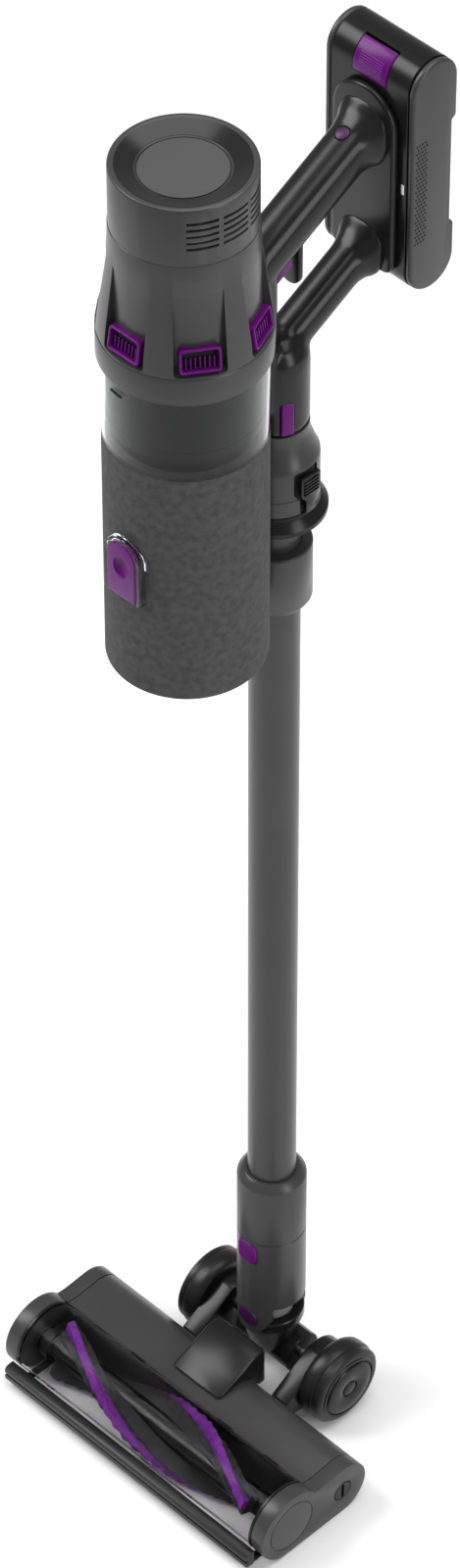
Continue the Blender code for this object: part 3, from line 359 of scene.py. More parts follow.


# the edge value of each look sets how strongly its convex edges get the painted highlight
looks = {
    "bodyGrey": {"colours": ((0.036, 0.035, 0.036), (0.045, 0.043, 0.044)), "roughness": 0.30, "grain": 0.05,
                 "edgeHighlight": 0.12},
    "charcoal": {"colours": ((0.006, 0.006, 0.006), (0.009, 0.009, 0.009)), "roughness": 0.24, "grain": 0.07,
                 "edgeHighlight": 0.12, "specular": 0.2},
    "handleGrey": {"colours": ((0.007, 0.007, 0.007), (0.011, 0.0105, 0.011)), "roughness": 0.24,
                   "grain": 0.07,
                   "edgeHighlight": 0.1, "specular": 0.22},
    "shroudBlack": {"colours": ((0.004, 0.004, 0.004), (0.006, 0.006, 0.006)), "roughness": 0.45,
                    "grain": 0.1,
                    "edgeHighlight": 0.1, "specular": 0.1},
    "purple": {"colours": ((0.080, 0.002, 0.105), (0.105, 0.003, 0.135)), "roughness": 0.28, "grain": 0.06,
               "edgeHighlight": 0.15, "specular": 0.14},
    "darkPurple": {"colours": ((0.028, 0.001, 0.034), (0.038, 0.002, 0.046)), "roughness": 0.4, "grain": 0.05,
                   "edgeHighlight": 0.05},
    "rubber": {"colours": ((0.008, 0.008, 0.008), (0.012, 0.012, 0.012)), "roughness": 0.34, "grain": 0.1,
               "edgeHighlight": 0.1, "grainScale": 500.0},
    # near-black matte paint used as painted shade inside recesses, slits, gaps and holes
    "pitBlack": {"colours": ((0.004, 0.004, 0.004), (0.007, 0.007, 0.007)), "roughness": 0.8, "grain": 0.2,
                 "edgeHighlight": 0.0},
    "discGrey": {"colours": ((0.050, 0.050, 0.050), (0.056, 0.056, 0.056)), "roughness": 0.6, "grain": 0.05,
                 "edgeHighlight": 0.0},
    "tubeGrey": {"colours": ((0.042, 0.040, 0.041), (0.050, 0.048, 0.049)), "roughness": 0.30, "grain": 0.05,
                 "metallic": 0.35, "edgeHighlight": 0.1},
    "hoseGrey": {"colours": ((0.16, 0.16, 0.16), (0.22, 0.22, 0.22)), "roughness": 0.4, "grain": 0.1,
                 "edgeHighlight": 0.2},
    "bristleBlack": {"colours": ((0.030, 0.030, 0.030), (0.060, 0.060, 0.060)), "roughness": 0.8,
                     "grain": 0.6,
                     "grainScale": 1800.0, "driftScale": 200.0, "edgeHighlight": 0.1},
    "brushPurple": {"colours": ((0.12, 0.010, 0.20), (0.20, 0.03, 0.32)), "roughness": 0.7, "grain": 0.6,
                    "grainScale": 2500.0, "driftScale": 300.0, "edgeHighlight": 0.1},
    "felt": {"colours": ((0.016, 0.016, 0.017), (0.035, 0.035, 0.036)), "roughness": 0.85, "grain": 0.5,
             "grainScale": 1500.0, "driftScale": 120.0, "edgeHighlight": 0.1},
    "steel": {"colours": ((0.50, 0.50, 0.51), (0.60, 0.60, 0.61)), "roughness": 0.3, "grain": 0.05,
              "metallic": 1.0, "edgeHighlight": 0.1},
    "satinBlack": {"colours": ((0.008, 0.008, 0.008), (0.012, 0.012, 0.012)), "roughness": 0.20,
                   "grain": 0.04,
                   "edgeHighlight": 0.05},
    "lightWhite": {"colours": ((0.85, 0.85, 0.85), (0.95, 0.95, 0.95)), "roughness": 0.3, "grain": 0.02,
                   "edgeHighlight": 0.0},
    "filterWhite": {"colours": ((0.55, 0.55, 0.53), (0.72, 0.72, 0.70)), "roughness": 0.9, "grain": 0.5,
                    "edgeHighlight": 0.0},
    "cellWrap": {"colours": ((0.04, 0.09, 0.22), (0.06, 0.14, 0.32)), "roughness": 0.4, "grain": 0.03,
                 "edgeHighlight": 0.1},
}
paint = {name: moulded(name, look) for name, look in looks.items()}
paint["clear"] = clearPlastic("clear", {"colours": ((0.93, 0.94, 0.95), (0.97, 0.98, 0.98)),
                                        "roughness": 0.02,
                                        "ior": 1.2, "specular": 0.35})
paint["smoke"] = clearPlastic("smoke", {"colours": ((0.80, 0.79, 0.80), (0.86, 0.85, 0.86)),
                                        "roughness": 0.01,
                                        "ior": 1.08, "specular": 0.3})
paint["clearEdge"] = clearPlastic("clearEdge", {"colours": ((0.30, 0.31, 0.32), (0.42, 0.43, 0.44)),
                                                "roughness": 0.03, "ior": 1.30})
print("materials ready")


# stage, light and camera

studio = {"lens": 154.125, "distance": 4.558, "aimHeight": 0.6116, "sideStep": -0.02063, "shiftX": -0.0084,
          "worldLevel": 0.38, "whiteLevel": 1.0}
tubeMiddle = middleOf("wand_tube")
wandX, wandY = tubeMiddle[0], tubeMiddle[1]


def makeStage():
    deselectAll()
    bpy.ops.mesh.primitive_plane_add(size=40)
    floor = bpy.context.object
    floor.name = "floor"
    pale, nodes, links = newMaterial("paleFloor")
    shader = nodes["Principled BSDF"]
    shader.inputs["Roughness"].default_value = 0.9
    shader.inputs["Specular IOR Level"].default_value = 0.1
    place = nodes.new("ShaderNodeTexCoord")
    tone = addTone(nodes, links, addNoise(nodes, links, place, 0.8), ((0.92,) * 3, (0.94,) * 3))
    links.new(tone, shader.inputs["Base Color"])
    floor.data.materials.append(pale)
    world = bpy.data.worlds.new("studio")
    world.use_nodes = True
    bpy.context.scene.world = world
    nodes, links = world.node_tree.nodes, world.node_tree.links
    background = nodes["Background"]
    path = nodes.new("ShaderNodeLightPath")
    level = nodes.new("ShaderNodeMix")
    level.inputs["A"].default_value = studio["worldLevel"]
    level.inputs["B"].default_value = studio["whiteLevel"]
    links.new(path.outputs["Is Camera Ray"], level.inputs["Factor"])
    links.new(level.outputs["Result"], background.inputs["Strength"])
    background.inputs["Color"].default_value = (1, 1, 1, 1)


def addLight(name, place, aim, size, power):
    deselectAll()
    bpy.ops.object.light_add(type="AREA", location=place)
    lamp = bpy.context.object
    lamp.name = name
    lamp.data.shape = "RECTANGLE"
    lamp.data.size, lamp.data.size_y = size
    lamp.data.energy = power
    lamp.rotation_euler = (Vector(aim) - Vector(place)).to_track_quat("-Z", "Y").to_euler()


def makeCamera():
    deselectAll()
    back = Vector((0.5, -0.5, math.sqrt(0.5)))
    side = Vector((math.sqrt(0.5), math.sqrt(0.5), 0))
    aim = Vector((wandX, wandY, studio["aimHeight"])) + side * studio["sideStep"]
    bpy.ops.object.camera_add(location=aim + back * studio["distance"],
                              rotation=(math.radians(45), 0, math.radians(45)))
    camera = bpy.context.object
    camera.data.lens = studio["lens"]
    camera.data.sensor_width = 36
    camera.data.shift_x = studio["shiftX"]
    bpy.context.scene.camera = camera


makeStage()
makeCamera()
addLight("keyLight", (-2.2, -1.6, 3.2), (0, 0, 0.6), (1.6, 2.4), 120)
addLight("topLight", (0.3, 0.4, 3.6), (0, 0, 0.6), (2.5, 2.5), 70)
addLight("fillLight", (3.0, 0.2, 1.6), (0, 0, 0.6), (1.0, 2.4), 45)
bpy.context.scene.view_settings.view_transform = "Standard"
print("studio ready")


# motor and bin axis
motorX, motorY = middleOf("clear_bin")[0], middleOf("clear_bin")[1]
motorAxis = (motorX, motorY, 0)
wandAxis = (wandX, wandY, 0)


# motor cap: satin dish, flat disc and groups of exhaust slots

capSizes = {"rim": 0.0473, "rimFlat": 0.0012, "disc": 0.0290, "sink": 0.0052, "wall": 0.0022,
            "slotHeight": 0.0023, "slotPitch": 0.00497, "slotMiddle": 1.1851, "slotHalf": 12.6,
            "groups": (-118, -89, -60, 60, 89, 118, 150, -150)}


def makeMotorCap():
    s = capSizes
    low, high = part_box("motor_cap")
    top, bottom, wall = high[2], low[2], s["wall"]
    floorZ = top - s["sink"]
    outline = [(s["rim"], bottom), (s["rim"], top - 0.0016), (s["rim"] - 0.0005, top - 0.0005),
               (s["rim"] - 0.0016, top), (s["rim"] - 0.0016 - s["rimFlat"], top),
               (s["rim"] - 0.0042, top - 0.0006), (s["disc"] + 0.0020, floorZ + 0.0004),
               (s["disc"] + 0.0009, floorZ + 0.0001), (s["disc"] + 0.0006, floorZ - 0.0008),
               (0, floorZ - 0.0008), (0, floorZ - 0.0030), (s["disc"], floorZ - 0.0030),
               (s["rim"] - wall - 0.0010, top - 0.0034), (s["rim"] - wall, top - 0.0050),
               (s["rim"] - wall, bottom)]
    shell = lathe("motorCap", outline, motorAxis, steps=144)
    cutters = []
    for group in s["groups"]:
        for row in range(-2, 3):
            z = s["slotMiddle"] + row * s["slotPitch"]
            half = s["slotHeight"] / 2
            outer, inner = s["rim"] + 0.002, s["rim"] - 0.006
            cutters.append(sector("slotCut", [(inner, z - half), (outer, z - half), (outer, z + half),
                                              (inner, z + half)], motorAxis, group, s["slotHalf"], 8))
    combine(shell, joinAll(cutters))
    bevelEdges(shell, 0.0003, 1, 40)
    finished(shell, paint["bodyGrey"], "cap", ("motor_cap",))
    ring = lathe("capDish", [(s["rim"] - 0.0044, top - 0.0004), (s["disc"] + 0.0018, floorZ + 0.0007),
                             (s["disc"] + 0.0018, floorZ - 0.0006), (s["rim"] - 0.0044, top - 0.0018)],
                 motorAxis, steps=144)
    finished(ring, paint["satinBlack"], "cap")
    disc = lathe("capDisc", [(0, floorZ - 0.0006), (s["disc"] - 0.0004, floorZ - 0.0006),
                             (s["disc"] - 0.0002, floorZ + 0.0001), (s["disc"] - 0.0005, floorZ + 0.0004),
                             (0, floorZ + 0.0004)], motorAxis, steps=96)
    finished(disc, paint["discGrey"], "cap", ("cap_disc",))


makeMotorCap()
print("motor cap ready")


# motor housing: five flutes round the drum, a purple vent at the foot of each

housingSizes = {"topRadius": 0.0477, "lowRadius": 0.0566, "bandTop": 1.0776, "fluteTop": 1.1530,
                "fluteLow": 1.0784, "fluteFloor": 0.0484, "fluteHalf": 19.0, "angles": (0, 56, 112, -56,
                                                                                        -112),
                "ventLow": 1.0812, "ventTop": 1.0990, "ventTilt": 9}


def makeMotorHousing():
    s = housingSizes
    low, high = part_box("motor_housing")
    outline = [(s["topRadius"] - 0.0020, high[2]), (s["topRadius"] - 0.0004, high[2]),
               (s["topRadius"], high[2] - 0.0004), (s["topRadius"] + 0.0002, 1.1500), (0.0486, 1.1400),
               (0.0500, 1.1280), (0.0518, 1.1150), (0.0536, 1.1020), (0.0552, 1.0900), (0.0561, 1.0800),
               (0.0562, s["bandTop"] + 0.0004), (0.0558, s["bandTop"]), (0.0558, s["bandTop"] - 0.0004),
               (s["lowRadius"] - 0.0003, s["bandTop"] - 0.0008), (s["lowRadius"], s["bandTop"] - 0.0016),
               (s["lowRadius"], low[2] + 0.0006), (s["lowRadius"] - 0.0006, low[2]),
               (0.0534, low[2]), (0.0534, 1.0700), (0.0470, 1.0760), (0.0455, 1.1000), (0.0452, 1.1500)]
    drum = lathe("motorHousing", outline, motorAxis, steps=180)
    for angle in s["angles"]:
        flat = roundCorners([(-0.0172, s["fluteLow"]), (0.0172, s["fluteLow"]), (0.0158, s["fluteTop"]),
                             (-0.0158, s["fluteTop"])], [0.003, 0.003, 0.011, 0.011], 6)
        tool = extruded("fluteCut", shifted(flat, motorX, 0), motorY - 0.0700, motorY - 0.0400, "Y")
        core = lathe("fluteCore", [(0, 1.05), (s["fluteFloor"], 1.05), (s["fluteFloor"], 1.1380),
                                   (s["fluteFloor"] + 0.0004, 1.1460), (s["fluteFloor"] + 0.0004, 1.17), (0,
                                                                                                          1.17)],
                     motorAxis, steps=180)
        combine(tool, core)
        turnMesh(tool, angle, "Z", motorAxis)
        combine(drum, tool)
    bevelEdges(drum, 0.0009, 3, 35)
    finished(drum, paint["bodyGrey"], "upright", ("motor_housing",))


def makeVents():
    s = housingSizes
    outer = rectangle(0.0135, (s["ventTop"] - s["ventLow"]) / 2, 0.0030, (0, 0), 5)
    inner = rectangle(0.0116, (s["ventTop"] - s["ventLow"]) / 2 - 0.0018, 0.0018, (0, 0), 5)
    middleZ = (s["ventTop"] + s["ventLow"]) / 2
    front = motorY - 0.0552
    tiltPoint = (motorX, front, s["ventLow"])
    rim = extruded("ventFrame", shifted(outer, motorX, middleZ), front, front + 0.0080, "Y")
    combine(rim, extruded("ventHole", shifted(inner, motorX, middleZ), front - 0.002, front + 0.0050, "Y"))
    bevelEdges(rim, 0.0009, 3, 40)
    # a near-black sheet at the floor of each vent recess: painted shade
    pit = extruded("ventPit", shifted(inner, motorX, middleZ), front + 0.0046, front + 0.0056, "Y")
    turnMesh(pit, -s["ventTilt"], "X", tiltPoint)
    pits = joinAll([pit] + [copyTurned(pit, angle, "Z", motorAxis) for angle in s["angles"][1:]])
    pits.name = "ventPits"
    finished(pits, paint["pitBlack"], "upright")
    ribs = [block("ventRib", (0.0009, 0.0026, 0.0085),
                  (motorX - 0.0090 + count * 0.0030, front + 0.0036, middleZ - 0.0024), 0.00025, 1)
            for count in range(7)]
    rim = turnMesh(joinAll([rim] + ribs), -s["ventTilt"], "X", tiltPoint)
    vents = joinAll([rim] + [copyTurned(rim, angle, "Z", motorAxis) for angle in s["angles"][1:]])
    vents.name = "purpleVents"
    finished(vents, paint["purple"], "upright", ("vent_band",))


makeMotorHousing()
makeVents()
print("motor housing ready")


# clear bin, its lid, the latch and the dark cyclone inside

binSizes = {"wall": 0.0020, "skirt": 0.0503, "drum": 0.0440, "flangeDrop": 0.0521, "drumDrop": 0.0991,
            "stem": 0.0206, "foot": 0.0274, "ribs": 24}


def makeBin():
    s = binSizes
    low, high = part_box("clear_bin")
    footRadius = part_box("bin_lid")[1][0]
    topRadius, wall = high[0], s["wall"]
    shell = lathe("clearBin", [(footRadius - 0.0012, low[2]), (footRadius, low[2] + 0.0010),
                               (footRadius + 0.0010, low[2] + 0.05), (topRadius - 0.0006, high[2] - 0.03),
                               (topRadius, high[2]), (topRadius - wall, high[2]),
                               (topRadius - wall - 0.0006, high[2] - 0.03),
                               (footRadius + 0.0010 - wall, low[2] + 0.05), (footRadius - wall, low[2])],
                  motorAxis, steps=144)
    finished(shell, paint["clear"], "upright", ("clear_bin",))
    z = high[2] - 0.0090
    # a near-black strip where the bin's catch slit lies in shade: painted shade
    slit = sector("binCatch", [(topRadius - 0.0002, z), (topRadius + 0.0008, z + 0.0002),
                               (topRadius + 0.0008, z + 0.0016), (topRadius - 0.0002, z + 0.0018)], motorAxis,
                               -6, 5.5)
    finished(slit, paint["pitBlack"], "upright")


def makeLid():
    s = binSizes
    low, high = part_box("bin_lid")
    r = high[0]
    outline = [(0, low[2] + 0.0050), (r - 0.0125, low[2] + 0.0050), (r - 0.0100, low[2] + 0.0004),
               (r - 0.0096, low[2]), (r - 0.0020, low[2]), (r - 0.0008, low[2] + 0.0006),
               (r - 0.0006, low[2] + 0.0052), (r, low[2] + 0.0058), (r, high[2] - 0.0004),
               (r - 0.0004, high[2]), (r - 0.0056, high[2]), (r - 0.0060, high[2] - 0.0004),
               (r - 0.0078, low[2] + 0.0075), (0, low[2] + 0.0075)]
    lid = lathe("clearLid", outline, motorAxis, steps=144)
    ribs = []
    for count in range(s["ribs"]):
        rib = block("lidRib", (0.0011, 0.0090, 0.0016), (motorX, motorY - r + 0.0125, low[2] + 0.0080),
                    0.0003, 1)
        turnMesh(rib, count * 360 / s["ribs"], "Z", motorAxis)
        ribs.append(rib)
    ring = lathe("lidRing", [(0.0335, low[2] + 0.0074), (0.0345, low[2] + 0.0074), (0.0345, low[2] + 0.0092),
                             (0.0335, low[2] + 0.0092)], motorAxis, steps=96)
    edges = [lathe("lidEdge", [(a, b - 0.0004), (a + 0.0007, b - 0.0004), (a + 0.0007, b + 0.0003),
                               (a, b + 0.0003)], motorAxis, steps=96)
             for a, b in ((r - 0.0008, high[2]), (r - 0.0100, low[2] + 0.0002), (r - 0.0030, low[2] + 0.0002),
                          (r - 0.0077, low[2] + 0.0080))]
    finished(lid, paint["clear"], "lid", ("bin_lid",))
    lines = joinAll([ring] + ribs + edges)
    lines.name = "lidLines"
    finished(lines, paint["clearEdge"], "lid")


def makeCyclone():
    s = binSizes
    low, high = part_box("cyclone_shroud")
    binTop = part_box("clear_bin")[1][2]
    top, foot = high[2], low[2]
    flange, drum = binTop - s["flangeDrop"], binTop - s["drumDrop"]
    skirt, r, stem = s["skirt"], s["drum"], s["stem"]
    outline = [(skirt - 0.0020, top), (skirt, top), (skirt, flange + 0.0080), (skirt + 0.0004,
                                                                               flange + 0.0076),
               (skirt + 0.0004, flange + 0.0008), (skirt - 0.0004, flange), (r + 0.0008, flange),
               (r, flange - 0.0008), (r, drum + 0.0012), (r - 0.0012, drum), (stem + 0.0030, drum + 0.0004),
               (stem, drum - 0.0020), (stem, foot + 0.0140), (stem + 0.0012, foot + 0.0110), (s["foot"],
                                                                                              foot + 0.0006),
               (s["foot"] - 0.0006, foot), (s["foot"] - 0.0020, foot), (stem - 0.0014, foot + 0.0120),
               (stem - 0.0014, drum + 0.0020), (r - 0.0020, drum + 0.0030), (r - 0.0020, flange + 0.0020),
               (skirt - 0.0020, flange + 0.0024)]
    body = lathe("cyclone", outline, motorAxis, steps=144)
    finished(body, paint["shroudBlack"], "upright", ("cyclone_shroud",))


def makeLatch():
    low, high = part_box("bin_latch")
    half = high[0]
    middle = (low[1] + high[1]) / 2
    arch = [(half, low[2])] + arcPoints((0, high[2] - half), half, 0, 180, 24) + [(-half, low[2])]
    arch = roundCorners(arch, [0.0015] + [0] * (len(arch) - 2) + [0.0015], 3)
    front = low[1] + 0.0003
    latch = extruded("purpleLatch", arch, front, high[1], "Y")
    bevelEdges(latch, 0.0009, 3, 50)
    dimple = lathe("dimple", [(0, -0.004), (0.0046, -0.0022), (0.0064, -0.0008), (0.0070, 0.0010), (0,
                                                                                                    0.0010)],
                   (0, 0, 0), steps=48)
    startEdit(dimple)
    bpy.ops.transform.rotate(value=math.radians(90), orient_axis="X", center_override=(0, 0, 0))
    bpy.ops.transform.resize(value=(1, -1, 1.25), center_override=(0, 0, 0))
    bpy.ops.mesh.normals_make_consistent(inside=False)
    bpy.ops.transform.translate(value=(0, front, high[2] - 0.0200))
    endEdit()
    combine(latch, dimple)
    finished(latch, paint["purple"], "latch_body", ("bin_latch",))
    low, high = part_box("latch_frame")
    outer, inner = high[0], half + 0.0007
    top = high[2] - outer
    arch = ([(outer, low[2])] + arcPoints((0, top), outer, 0, 180, 24) + [(-outer, low[2]), (-inner, low[2])]
            + arcPoints((0, top), inner, 180, 0, 24) + [(inner, low[2])])
    rim = extruded("latchRim", arch, low[1] + 0.0004, high[1] + 0.0025, "Y")

    def binSpace(wide):
        return lathe("binSpace", [(0, high[2] + 0.02), (wide, high[2] + 0.02), (wide - 0.0025, low[2] - 0.01),
                                  (0, low[2] - 0.01)], motorAxis, steps=144)

    combine(rim, binSpace(0.0551))
    bevelEdges(rim, 0.0005, 2, 50)
    finished(rim, paint["clear"], "upright", ("latch_frame",))
    # a near-black plate behind the latch: painted shade in the gap round it
    backing = [(inner - 0.0001, low[2] + 0.0010)] + arcPoints((0, top), inner - 0.0001, 0, 180, 24)
    backing += [(-inner + 0.0001, low[2] + 0.0010)]
    plate = extruded("latchPlate", backing, high[1] - 0.0030, high[1] + 0.0012, "Y")
    combine(plate, binSpace(0.0552))
    finished(plate, paint["pitBlack"], "upright")


makeBin()
makeLid()
makeCyclone()
makeLatch()
print("bin ready")


# handle: column, post, strut and grip blended into one moulding, with the dock plate behind

handleSizes = {"slope": 28.3, "gripZ": 0.2573, "strutZ": 0.1631, "grip": 0.0325, "strut": 0.0265,
               "post": 0.0250, "postY": -0.0208, "voxel": 0.0014, "dockHalf": 0.0270,
               "releaseTurn": 65}
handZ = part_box("wand_collar")[1][2]
batteryLow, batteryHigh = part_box("battery_case")
slopeTan = math.tan(math.radians(handleSizes["slope"]))
slopeCos = math.cos(math.radians(handleSizes["slope"]))
gripBase, strutBase = handZ + handleSizes["gripZ"], handZ + handleSizes["strutZ"]


def gripLine(base, y):
    # height of a line climbing backwards with the grip, y measured from the wand
    return base + y * slopeTan


def slopingBar(name, base, start, stop, halfWidth, halfHeight):
    outline = rectangle(halfWidth, halfHeight, min(halfWidth, halfHeight) * 0.95, (0, 0), 6)
    points = [(a, wandY + start, gripLine(base, start) + b / slopeCos) for a, b in outline]
    piece = drawLine(name, points)
    bpy.ops.mesh.edge_face_add()
    reach = stop - start
    bpy.ops.mesh.extrude_region_move(TRANSFORM_OT_translate={"value": (0, reach, reach * slopeTan)})
    cleanMesh()
    return piece


def makeHandle():
    s = handleSizes
    face = batteryLow[1] - wandY
    front = face - 0.0058
    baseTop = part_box("column_base")[1][2]
    strut = slopingBar("handle", strutBase, -0.0020, front + 0.0030, s["strut"] / 2, s["strut"] / 2)
    grip = slopingBar("gripBar", gripBase, s["postY"] - 0.0120, front + 0.0030, s["grip"] / 2 - 0.0010,
                      s["grip"] / 2)
    flares = []
    for reach, grow in ((0.0110, 0.0010), (0.0070, 0.0022), (0.0040, 0.0040), (0.0015, 0.0062)):
        flares.append(slopingBar("gripFlare", gripBase, front - reach, front + 0.0030,
                                 s["grip"] / 2 + grow - 0.0010,
                                 s["grip"] / 2 + grow * 0.8))
        flares.append(slopingBar("strutFlare", strutBase, front - reach, front + 0.0030,
                                 s["strut"] / 2 + grow,
                                 s["strut"] / 2 + grow * 0.8))
    post = shifted(rectangle(s["post"] / 2 + 0.0020, s["post"] / 2, 0.009, (0, s["postY"]), 5), wandX, wandY)
    postBar = extruded("postBar", post, baseTop + 0.0240, gripLine(gripBase, s["postY"]), "Z")
    crown = strutBase + 0.0170
    r = 0.0226
    dome = [(0, crown), (0.0110, crown - 0.0020), (0.0180, crown - 0.0070), (r - 0.0006, crown - 0.0150),
            (r, crown - 0.0220), (r, baseTop + 0.0004), (0, baseTop + 0.0004)]
    column = lathe("columnTop", dome, wandAxis, steps=72)
    for other in [grip, postBar, column] + flares:
        combine(strut, other, "UNION")
    combine(strut, rod("motorRoom", 0.0572, baseTop - 0.05, 1.25, motorAxis, steps=120))
    applyModifier(strut, "REMESH", mode="VOXEL", voxel_size=s["voxel"])
    applyModifier(strut, "SMOOTH", factor=0.5, iterations=24)
    combine(strut, block("handleUnder", (0.2, 0.2, 0.02), (0, wandY, baseTop + 0.0004 - 0.01)))
    combine(strut, block("handleBehind", (0.2, 0.02, 0.6), (0, wandY + front + 0.0012 + 0.01, 1.1)))
    return strut


def cutControls(piece):
    # room for the trigger, the power button and the side release, with a small gap
    low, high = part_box("trigger")
    gap = 0.0004
    front, rear = low[1] - gap - wandY, high[1] + gap - wandY
    half = high[0] + gap
    outline = [(wandY + front, gripLine(gripBase, front) - 0.0035), (wandY + rear, gripLine(gripBase,
                                                                                            rear) - 0.0035),
               (wandY + rear, gripLine(gripBase, rear) - 0.0600), (wandY + front, gripLine(gripBase,
                                                                                           front) - 0.0600)]
    combine(piece, extruded("triggerRoom", outline, -half, half, "X"))
    power = middleOf("power_button")
    well = turnMesh(rod("powerRoom", 0.0055, 0.01, -0.0060, (0, 0, 0), steps=48), handleSizes["slope"], "X",
                    (0, 0, 0))
    combine(piece, moveMesh(well, tuple(power)))
    side = middleOf("bin_release")
    low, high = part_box("bin_release")
    hole = block("releaseRoom", (0.0104, 0.02, high[2] - low[2] + 0.0008), (0, -0.0210, side[2]), 0.0030, 4)
    moveMesh(hole, (wandX, wandY, 0))
    combine(piece, turnMesh(hole, handleSizes["releaseTurn"], "Z", wandAxis))


def makeDock():
    s = handleSizes
    face = batteryLow[1] - 0.0003
    low = batteryLow[2] + 0.0150
    archZ = batteryLow[2] + 0.1305
    half = s["dockHalf"]
    outline = [(half, low)] + arcPoints((0, archZ), half, 0, 180, 32) + [(-half, low)]
    outline = roundCorners(outline, [0.010] + [0] * (len(outline) - 2) + [0.010], 6)
    dock = extruded("dock", outline, face - 0.0052, face, "Y")
    bevelEdges(dock, 0.0022, 4, 60)
    finished(dock, paint["handleGrey"], "upright")


handle = makeHandle()
cutControls(handle)
finished(handle, paint["handleGrey"], "upright", ("handle_frame",), 40)
makeDock()
print("handle ready")


# finger guard, trigger, power button and side release

def makeControls():
    low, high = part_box("trigger")
    half, front, rear = high[0], low[1], high[1]

    def hungOutline(top, drop):
        return [(front, gripLine(gripBase, front - wandY) - top), (rear, gripLine(gripBase,
                                                                                  rear - wandY) - top),
                (rear, gripLine(gripBase, rear - wandY) - drop), (front, gripLine(gripBase,
                                                                                  front - wandY) - drop)]

    trigger = extruded("triggerButton", hungOutline(0.0085, 0.0292), -half, half, "X")
    bevelEdges(trigger, 0.0022, 4, 40)
    finished(trigger, paint["purple"], "trigger_body", ("trigger",))
    guardY = rear + 0.0050
    width = 0.0095
    bend = gripLine(gripBase, guardY - wandY) - 0.0520 + width
    outline = arcPoints((0, bend), width, 180, 360, 16) + [(width, bend + 0.0340), (-width, bend + 0.0340)]
    guard = extruded("fingerGuard", outline, guardY - 0.0022, guardY + 0.0022, "Y")
    bevelEdges(guard, 0.0014, 3, 60)
    finished(guard, paint["handleGrey"], "upright")
    power = middleOf("power_button")
    button = lathe("powerDisc", [(0, 0.0021), (0.0040, 0.0019), (0.0048, 0.0014), (0.0050, 0.0006), (0.0050,
                                                                                                     -0.0030),
                                 (0, -0.0030)], (0, 0, 0), steps=64)
    turnMesh(button, handleSizes["slope"], "X", (0, 0, 0))
    moveMesh(button, tuple(power))
    finished(button, paint["darkPurple"], "power_body", ("power_button",))
    low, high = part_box("bin_release")
    side = middleOf("bin_release")
    release = block("sideRelease", (0.0094, 0.0060, high[2] - low[2]), (wandX, wandY - 0.0206, side[2]),
                    0.0016, 4)
    turnMesh(release, handleSizes["releaseTurn"], "Z", wandAxis)
    finished(release, paint["purple"], "bin_release_body", ("bin_release",))


makeControls()
print("controls ready")


# battery: dark core, two side plates with a dot grille, release button and charge light

batterySizes = {"cheek": 0.0052, "notch": 0.0036, "notchLow": 1.0590, "notchHigh": 1.1500,
                "gridLow": 1.0620, "gridHigh": 1.1420}


def stadium(low, high, inset=0.0):
    # side outline of the battery in (y, z), round at both ends
    y0, y1, z0, z1 = low[1] + inset, high[1] - inset, low[2] + inset, high[2] - inset
    radius = (y1 - y0) / 2
    middle = (y0 + y1) / 2
    return arcPoints((middle, z1 - radius), radius, 0, 180, 28) + arcPoints((middle, z0 + radius), radius,
                                                                            180, 360, 28)


def makeBattery():
    s = batterySizes
    low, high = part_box("battery_case")
    case = extruded("batteryCase", stadium(low, high), low[0], high[0], "X")
    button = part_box("battery_button")
    half = button[1][0] + 0.0004
    well = block("buttonWell", (2 * half, 0.0260, button[1][2] - button[0][2] + 0.0008),
                 (0, button[0][1] + 0.0120, (button[0][2] + button[1][2]) / 2))
    combine(case, well)
    bevelEdges(case, 0.0004, 1, 60)
    finished(case, paint["charcoal"], "battery", ("battery_case",))
    for side, node in ((-1, "battery_cheek_left"), (1, "battery_cheek_right")):
        low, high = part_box(node)
        inner, outer = sorted((low[0], high[0]), key=abs)
        cheek = extruded("batteryCheek", stadium(low, high), min(inner, outer), max(inner, outer), "X")
        notch = [(high[1] - s["notch"], s["notchLow"] + 0.004), (high[1] + 0.01, s["notchLow"] - 0.004),
                 (high[1] + 0.01, s["notchHigh"] + 0.004), (high[1] - s["notch"], s["notchHigh"] - 0.004)]
        combine(cheek, extruded("notchCut", notch, min(inner, outer) - 0.001,
                                max(inner, outer) + 0.001, "X"))
        bevelEdges(cheek, 0.0024, 4, 50)
        finished(cheek, paint["bodyGrey"], "battery", (node,))
    pins = []
    radius = 0.0009
    for row in range(27):
        for column in range(4):
            shift = 0.5 if row % 2 else 0.0
            y = batteryLow[1] + 0.0036 + (column + shift) * 0.0026
            z = s["gridLow"] + row * (s["gridHigh"] - s["gridLow"]) / 26
            pins.append((y, z))
    for side, node in ((-1, "battery_cheek_left"), (1, "battery_cheek_right")):
        low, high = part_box(node)
        face = high[0] if side > 0 else low[0]
        # each grille dot is a near-black disc: painted shade in the holes
        dot = rod("grilleDot", radius, -0.0001, 0.00015, (0, 0, 0), steps=6)
        turnMesh(dot, 90, "Y", (0, 0, 0))
        grille = joinAll([copyMoved(dot, (face, y, z)) for y, z in pins])
        bpy.data.objects.remove(dot)
        grille.name = "batteryGrille"
        finished(grille, paint["pitBlack"], "battery")


